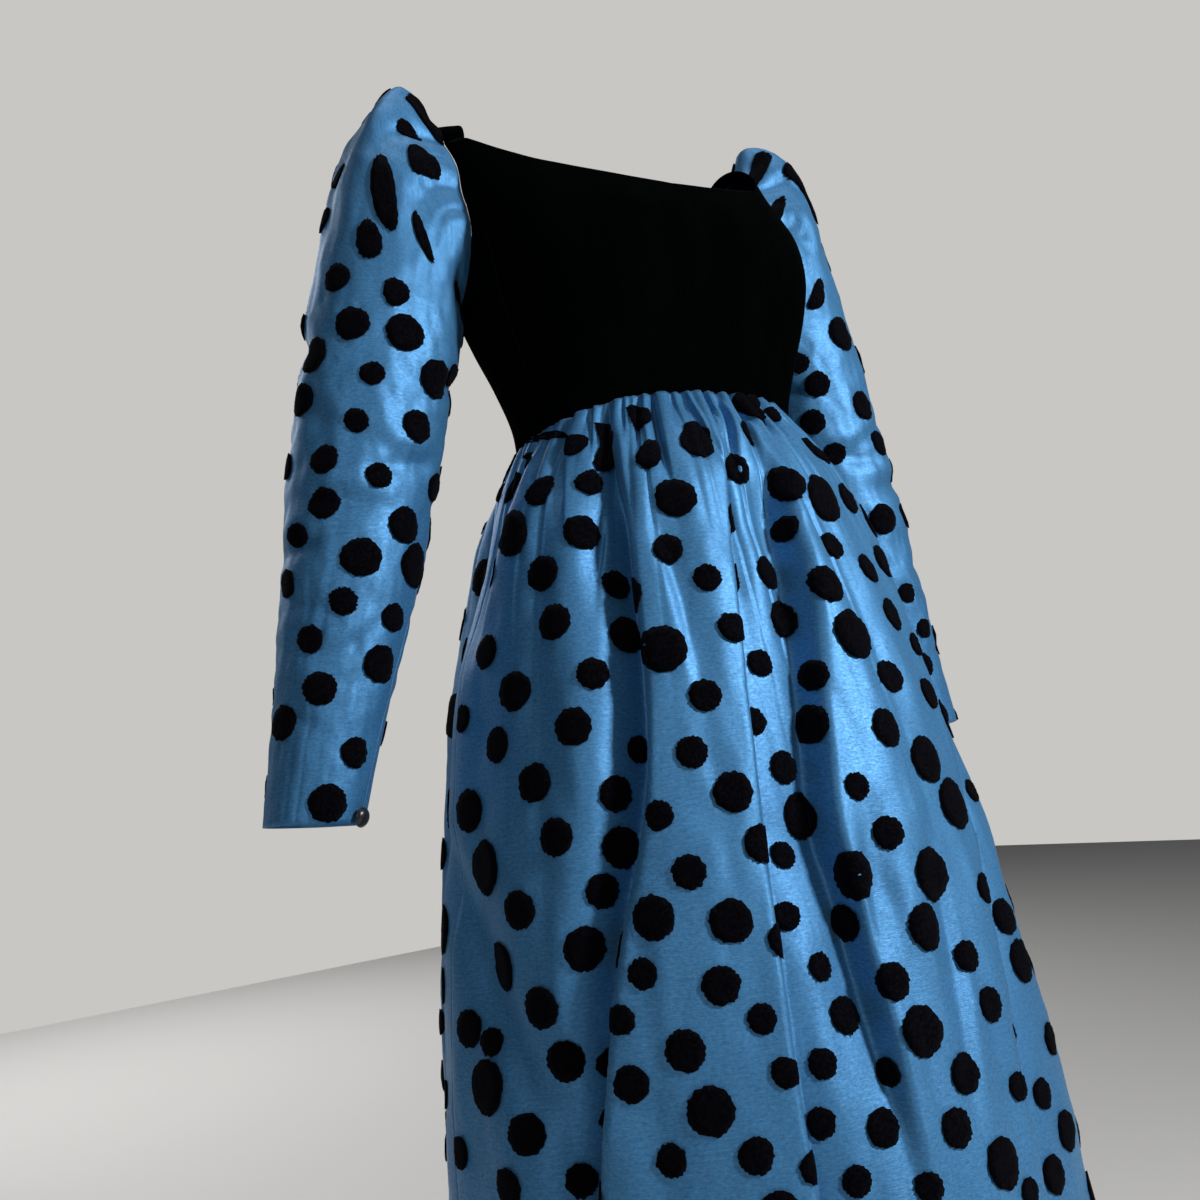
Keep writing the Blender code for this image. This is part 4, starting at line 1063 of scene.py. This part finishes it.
def flatDots(name, chart, template, tree, outer, flat):
    # every dot of a piece of cloth, as a mesh in the plane of the flat cloth
    mesh = bpy.data.meshes.new(name)
    mesh.from_pydata([(u, v, 0.0) for u, v, _ in chart], [], [])
    radii = [d / 2 for _, _, d in chart]
    mesh.attributes.new("radius", "FLOAT", "POINT").data.foreach_set("value", radii)
    middles = np.array([(u, v, 0.0) for u, v, _ in chart])
    stretches = np.array([clothStretch(outer, flat, u, v, d / 2) for u, v, d in chart])
    for key, values in (("dotMiddle", middles), ("dotStretch", stretches)):
        mesh.attributes.new(key, "FLOAT_VECTOR", "POINT").data.foreach_set("vector", values.ravel())
    holder = bpy.data.objects.new(name, mesh)
    bpy.context.scene.collection.objects.link(holder)
    modifier = holder.modifiers.new("dots", "NODES")
    modifier.node_group = tree
    values = {"Dot": template, "Fray": dotShape["fray"], "Wobble": dotShape["wobble"],
              "Seed": dotShape["seed"], "Material": pile}
    for item in tree.interface.items_tree:
        if item.in_out == "INPUT" and item.name in values:
            modifier[item.identifier] = values[item.name]
    holder.update_tag()
    bpy.context.view_layer.update()
    made = bpy.data.meshes.new_from_object(
        holder.evaluated_get(bpy.context.evaluated_depsgraph_get()))
    bpy.data.objects.remove(holder)
    return made


def wrapOnCloth(mesh, outer, flat, normals):
    # bends the flat dots onto the cloth; what is past its edge is folded in at the edge
    count = len(mesh.vertices)
    points = np.empty(count * 3, np.float32)
    lifts = np.empty(count, np.float32)
    mesh.vertices.foreach_get("co", points)
    mesh.attributes["lift"].data.foreach_get("value", lifts)
    points = points.reshape(-1, 3).astype(float)
    held = {}
    for key in ("dotMiddle", "dotStretch"):
        held[key] = np.empty(count * 3, np.float32)
        mesh.attributes[key].data.foreach_get("vector", held[key])
        held[key] = held[key].reshape(-1, 3).astype(float)
    middle, stretch = held["dotMiddle"], held["dotStretch"]
    # undoes the stretch, so that a dot is round on the cloth
    away = points - middle
    down = away[:, 1] / stretch[:, 1]
    across = middle[:, 0] + (away[:, 0] + stretch[:, 2] * down) / stretch[:, 0]
    down = middle[:, 1] + down
    levels = -flat[:, 0, 1]
    down = np.clip(-down, levels[0] + dotShape["fromTop"], levels[-1] - dotShape["fromTop"])
    row = np.clip(np.searchsorted(levels, down) - 1, 0, len(levels) - 2)
    share = (down - levels[row]) / (levels[row + 1] - levels[row])
    columns = np.arange(flat.shape[1])
    margin = dotShape["fromSide"]
    result, facing = np.zeros((count, 3)), np.zeros((count, 3))
    for i in np.unique(row):
        chosen = np.nonzero(row == i)[0]
        for k, weight in ((i, 1 - share[chosen]), (i + 1, share[chosen])):
            edges = flat[k, :, 0]
            at = np.interp(np.clip(across[chosen], edges[0] + margin, edges[-1] - margin), edges, columns)
            low = np.clip(at.astype(int), 0, len(columns) - 2)
            part = (at - low)[:, None]
            for total, grid in ((result, outer), (facing, normals)):
                total[chosen] += (grid[k, low] * (1 - part) + grid[k, low + 1] * part) * weight[:, None]
    result += unit(facing) * (lifts * dotShape["pile"])[:, None]
    mesh.vertices.foreach_set("co", result.astype(np.float32).ravel())
    mesh.update()
    mesh.shade_smooth()


def gridNormals(grid, flip=1):
    alongRow = np.gradient(grid, axis=1)
    downColumn = np.gradient(grid, axis=0)
    return unit(np.cross(downColumn, alongRow)) * flip


def seenInFront(point, facing, trees):
    # true where the picture shows the cloth, whose dots are all in the chart
    toCamera = pictureFrom - Vector(point)
    if Vector(facing).dot(toCamera.normalized()) < 0.10:
        return False
    inside = pictureTurn.transposed() @ (Vector(point) - pictureFrom)
    if max(abs(inside.x), abs(inside.y)) > 0.5 * -inside.z:
        return False
    start = Vector(point) + toCamera.normalized() * 0.012
    return not any(tree.ray_cast(start, toCamera.normalized(), toCamera.length)[0] for tree in trees)


def fillDots(name, outer, flat, normals, trees, rng):
    chart = [(u / 1000, v / 1000, d / 1000) for u, v, d in dotChart.get(name, ())]
    seen = len(chart)
    spacing, jitter = dotShape["spacing"], dotShape["jitter"]
    levels = -flat[:, 0, 1]
    widest = flat[:, -1, 0].max()
    rows = int(levels[-1] / (spacing * 0.9)) + 2
    columns = int(widest * 2 / spacing) + 2
    for i in range(rows):
        for j in range(columns):
            u = -widest + (j + 0.5 * (i % 2)) * spacing + rng.uniform(-jitter, jitter)
            v = (i + 0.3) * spacing * 0.9 + rng.uniform(-jitter, jitter)
            size = rng.choice(dotShape["sizes"])
            k = int(np.clip(np.searchsorted(levels, v), 0, len(levels) - 1))
            edges = flat[k, :, 0]
            if not (edges[0] - 0.004 < u < edges[-1] + 0.004 and -0.004 < v < levels[-1] + 0.004):
                continue
            column = int(np.clip(np.searchsorted(edges, u), 0, len(edges) - 1))
            if seenInFront(outer[k, column], normals[k, column], trees):
                continue
            if all(math.hypot(u - a, v + b) > (size + c) / 2 + dotShape["apart"] for a, b, c in chart):
                chart.append((u, -v, size))
    print(f"{name}: {seen} charted dots, {len(chart) - seen} more")
    return chart


# where the picture is taken from
pictureTurn = Matrix(((0.86820, 0.04412, -0.49425), (-0.47725, -0.19847, -0.85606),
                      (-0.13586, 0.97911, -0.15126)))
pictureFrom = Vector((-0.5904, -0.9181, -0.6000))
plainDot = dotTemplate("plainDot", ((12, 0.62, 1.0, 0.0), (48, 1.0, 0.82, 1.0), (12, 0.95, -0.12, 0.0)))
fineDot = dotTemplate("fineDot", (
    (24, 0.20, 1.0, 0.0), (48, 0.40, 1.0, 0.0), (48, 0.58, 1.0, 0.0), (48, 0.75, 1.0, 0.0),
    (48, 0.90, 0.97, 0.0), (48, 1.0, 0.8, 1.0), (24, 0.95, -0.12, 0.0)))
dotMaker = dotTree()
shells = []
for skin in [skin for skin, _ in skins.values()] + [pieces["bodice_front"][0].data]:
    built = bmesh.new()
    built.from_mesh(skin)
    shells.append(BVHTree.FromBMesh(built))
    built.free()
dotRandom = random.Random(dotShape["seed"])
for name, (skin, flat) in skins.items():
    outer = grids[name]
    normals = gridNormals(outer, -1 if name == "sleeve_right" else 1)
    chart = fillDots(name, outer, flat, normals, shells, dotRandom)
    near = [dot for dot in chart if -dot[1] < dotShape["fineAbove"]]
    rest = [dot for dot in chart if -dot[1] >= dotShape["fineAbove"]]
    for label, some, template in (("Fine", near, fineDot), ("", rest, plainDot)):
        mesh = flatDots(f"{name}{label}Dots", some, template, dotMaker, outer, flat)
        wrapOnCloth(mesh, outer, flat, normals)
        if name == "sleeve_right":
            mesh.flip_normals()
        mesh.name = f"{name}{label}Dots"
        dots = bpy.data.objects.new(f"{name}{label}Dots", mesh)
        bpy.context.scene.collection.objects.link(dots)
        dotPieces[dots.name] = (dots, name)
for template in (plainDot, fineDot):
    bpy.data.objects.remove(template)
print("dots made:", sum(len(dots.data.polygons) for dots, _ in dotPieces.values()), "faces")

# ---- the cuff's button and thread loop ----
fastening = {
    "round": 0.2450,
    "across": 0.0070,
    "along": 0.0050,
    "anchor": -0.0060,
    "loopRadius": 0.0033,
    "thread": 0.0006,
    "sides": 40,
    # lift off the cuff and radius, from the foot of the neck to the dome
    "profile": ((0.0003, 0.0022), (0.0024, 0.0022), (0.0027, 0.0070), (0.0030, 0.0075),
                (0.0034, 0.0078), (0.0042, 0.0079), (0.0050, 0.0076), (0.0061, 0.0068),
                (0.0070, 0.0058), (0.0077, 0.0045), (0.0083, 0.0028), (0.0086, 0.0012)),
}


def cuffPoint(across, along, lift, hang):
    height = sleeveTable[-1, 0] + along
    v = np.array((across / fastening["round"]) % 1.0)
    start = armPoint(v, np.array(height), hang)
    ahead = armPoint(v + 1e-3, np.array(height), hang)
    above = armPoint(v, np.array(height + 1e-3), hang)
    return start + unit(np.cross(start - above, ahead - start)) * lift


def tubeMesh(name, rings):
    count = len(rings[0])
    points = np.concatenate(rings + [rings[0].mean(axis=0)[None], rings[-1].mean(axis=0)[None]])
    quads = []
    for i in range(len(rings) - 1):
        for j in range(count):
            k = (j + 1) % count
            quads.append((i * count + j, i * count + k, (i + 1) * count + k, (i + 1) * count + j))
    first, last = len(points) - 2, len(points) - 1
    start = (len(rings) - 1) * count
    ends = [(first, (j + 1) % count, j) for j in range(count)]
    ends += [(last, start + j, start + (j + 1) % count) for j in range(count)]
    mesh = bpy.data.meshes.new(name)
    mesh.from_pydata(points.tolist(), [], quads + ends)
    mesh.shade_smooth()
    built = bmesh.new()
    built.from_mesh(mesh)
    bmesh.ops.recalc_face_normals(built, faces=built.faces)
    built.to_mesh(mesh)
    built.free()
    return mesh


def buttonRings(hang):
    centre = cuffPoint(fastening["across"], fastening["along"], 0.0, hang)
    outward = unit(cuffPoint(fastening["across"], fastening["along"], 1e-3, hang) - centre)
    up = np.array([0.0, 0.0, 1.0])
    first = unit(up - outward * (up @ outward))
    second = np.cross(outward, first)
    turn = np.linspace(0, 2 * math.pi, fastening["sides"], endpoint=False)[:, None]
    ring = first * np.cos(turn) + second * np.sin(turn)
    return [centre + outward * lift + ring * radius for lift, radius in fastening["profile"]]


def loopRings(hang):
    radius, anchor = fastening["loopRadius"], fastening["anchor"]
    turn = np.linspace(-0.5 * math.pi, 0.5 * math.pi, 17)
    path = [(x, -radius) for x in np.linspace(anchor, fastening["across"] * 0.9, 7)]
    path += [(fastening["across"] + radius * math.cos(a), radius * math.sin(a)) for a in turn]
    path += [(x, radius) for x in np.linspace(fastening["across"] * 0.9, anchor, 7)]
    lift = seam["gap"] + fastening["thread"] + 0.0003
    path = np.array([cuffPoint(x, fastening["along"] + z, lift, hang) for x, z in path])
    outward = unit(cuffPoint(0.0, fastening["along"], 1e-3, hang)
                   - cuffPoint(0.0, fastening["along"], 0.0, hang))
    ahead = unit(np.gradient(path, axis=0))
    aside = unit(np.cross(ahead, outward))
    raised = np.cross(aside, ahead)
    turn = np.linspace(0, 2 * math.pi, 8, endpoint=False)
    return [p + fastening["thread"] * (np.outer(np.cos(turn), a) + np.outer(np.sin(turn), r))
            for p, a, r in zip(path, aside, raised)]


for side, flip in (("left", 1), ("right", -1)):
    hang = sleeveShape["hang"][side]
    rings = [ring * (flip, 1, 1) for ring in buttonRings(hang)]
    pieces[f"cuff_button_{side}"] = (
        addPiece(f"cuff_button_{side}Dome", tubeMesh("buttonDome", rings), satin), None)
    rings = [ring * (flip, 1, 1) for ring in loopRings(hang)]
    pieces[f"button_loop_{side}"] = (
        addPiece(f"button_loop_{side}Thread", tubeMesh("threadLoop", rings), threadPaint), None)
print("fastenings made")

# ---- the picture: camera, floor, light ----
camera = bpy.data.objects.new("camera", bpy.data.cameras.new("camera"))
bpy.context.scene.collection.objects.link(camera)
camera.data.sensor_width = 36
camera.data.lens = 36
camera.data.clip_start = 0.05
camera.matrix_world = Matrix.Translation(pictureFrom) @ pictureTurn.to_4x4()
bpy.context.scene.camera = camera

studioLook = {
    "floor": (0.72, 0.71, 0.69),
    "floorSide": 6.0,
    "floorLevel": -1.402,
    "backdrop": (0.58, 0.57, 0.55, 1),
    "ambient": (0.90, 0.94, 1.0, 1),
    "ambientStrength": 0.055,
    # name, place, aim, size, power
    "lights": (
        ("key", (0.95, -1.85, 0.25), (0.02, 0, -0.55), 0.28, 50),
        ("fill", (-1.9, -1.9, 0.2), (0, 0, -0.6), 0.9, 10),
        ("above", (0.2, -0.4, 2.6), (0, 0, -0.5), 1.6, 22),
        ("floorWash", (-0.6, 4.2, 1.6), (-0.6, 4.2, -1.4), 4.0, 120),
    ),
}
side, level = studioLook["floorSide"], studioLook["floorLevel"]
floorMesh = bpy.data.meshes.new("floor")
floorMesh.from_pydata(
    [(x * side, y * side, level) for x, y in ((-1, -1), (1, -1), (1, 1), (-1, 1))], [], [(0, 1, 2, 3)])
floorPaint, _ = shaderTree("paleFloor", {"Base Color": studioLook["floor"], "Roughness": 0.8})
floor = addPiece("floor", floorMesh, floorPaint)

world = bpy.data.worlds.new("studio")
bpy.context.scene.world = world
world.use_nodes = True
studio = Tree(world.node_tree)
ambient = world.node_tree.nodes["Background"]
ambient.inputs["Color"].default_value = studioLook["ambient"]
ambient.inputs["Strength"].default_value = studioLook["ambientStrength"]
seen = studio.add("ShaderNodeBackground", {"Color": studioLook["backdrop"], "Strength": 1.0})
rays = studio.add("ShaderNodeLightPath")
both = studio.add("ShaderNodeMixShader", {
    0: rays.outputs["Is Camera Ray"], 1: ambient.outputs[0], 2: seen.outputs[0]})
studio.links.new(both.outputs[0], world.node_tree.nodes["World Output"].inputs["Surface"])


def softLight(name, place, aim, size, power):
    data = bpy.data.lights.new(name, "AREA")
    data.shape = "SQUARE"
    data.size = size
    data.energy = power
    lamp = bpy.data.objects.new(name, data)
    bpy.context.scene.collection.objects.link(lamp)
    lamp.location = place
    lamp.rotation_euler = (Vector(aim) - Vector(place)).to_track_quat("-Z", "Y").to_euler()


for light in studioLook["lights"]:
    softLight(*light)
scene = bpy.context.scene
scene.view_settings.view_transform = "Standard"
scene.view_settings.exposure = 0.0

# ---- hand the pieces over ----
for dots, _ in dotPieces.values():
    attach(dots, "root")
for name, (piece, flat) in pieces.items():
    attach(piece, "root")
    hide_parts(name)
    if flat is None:
        continue
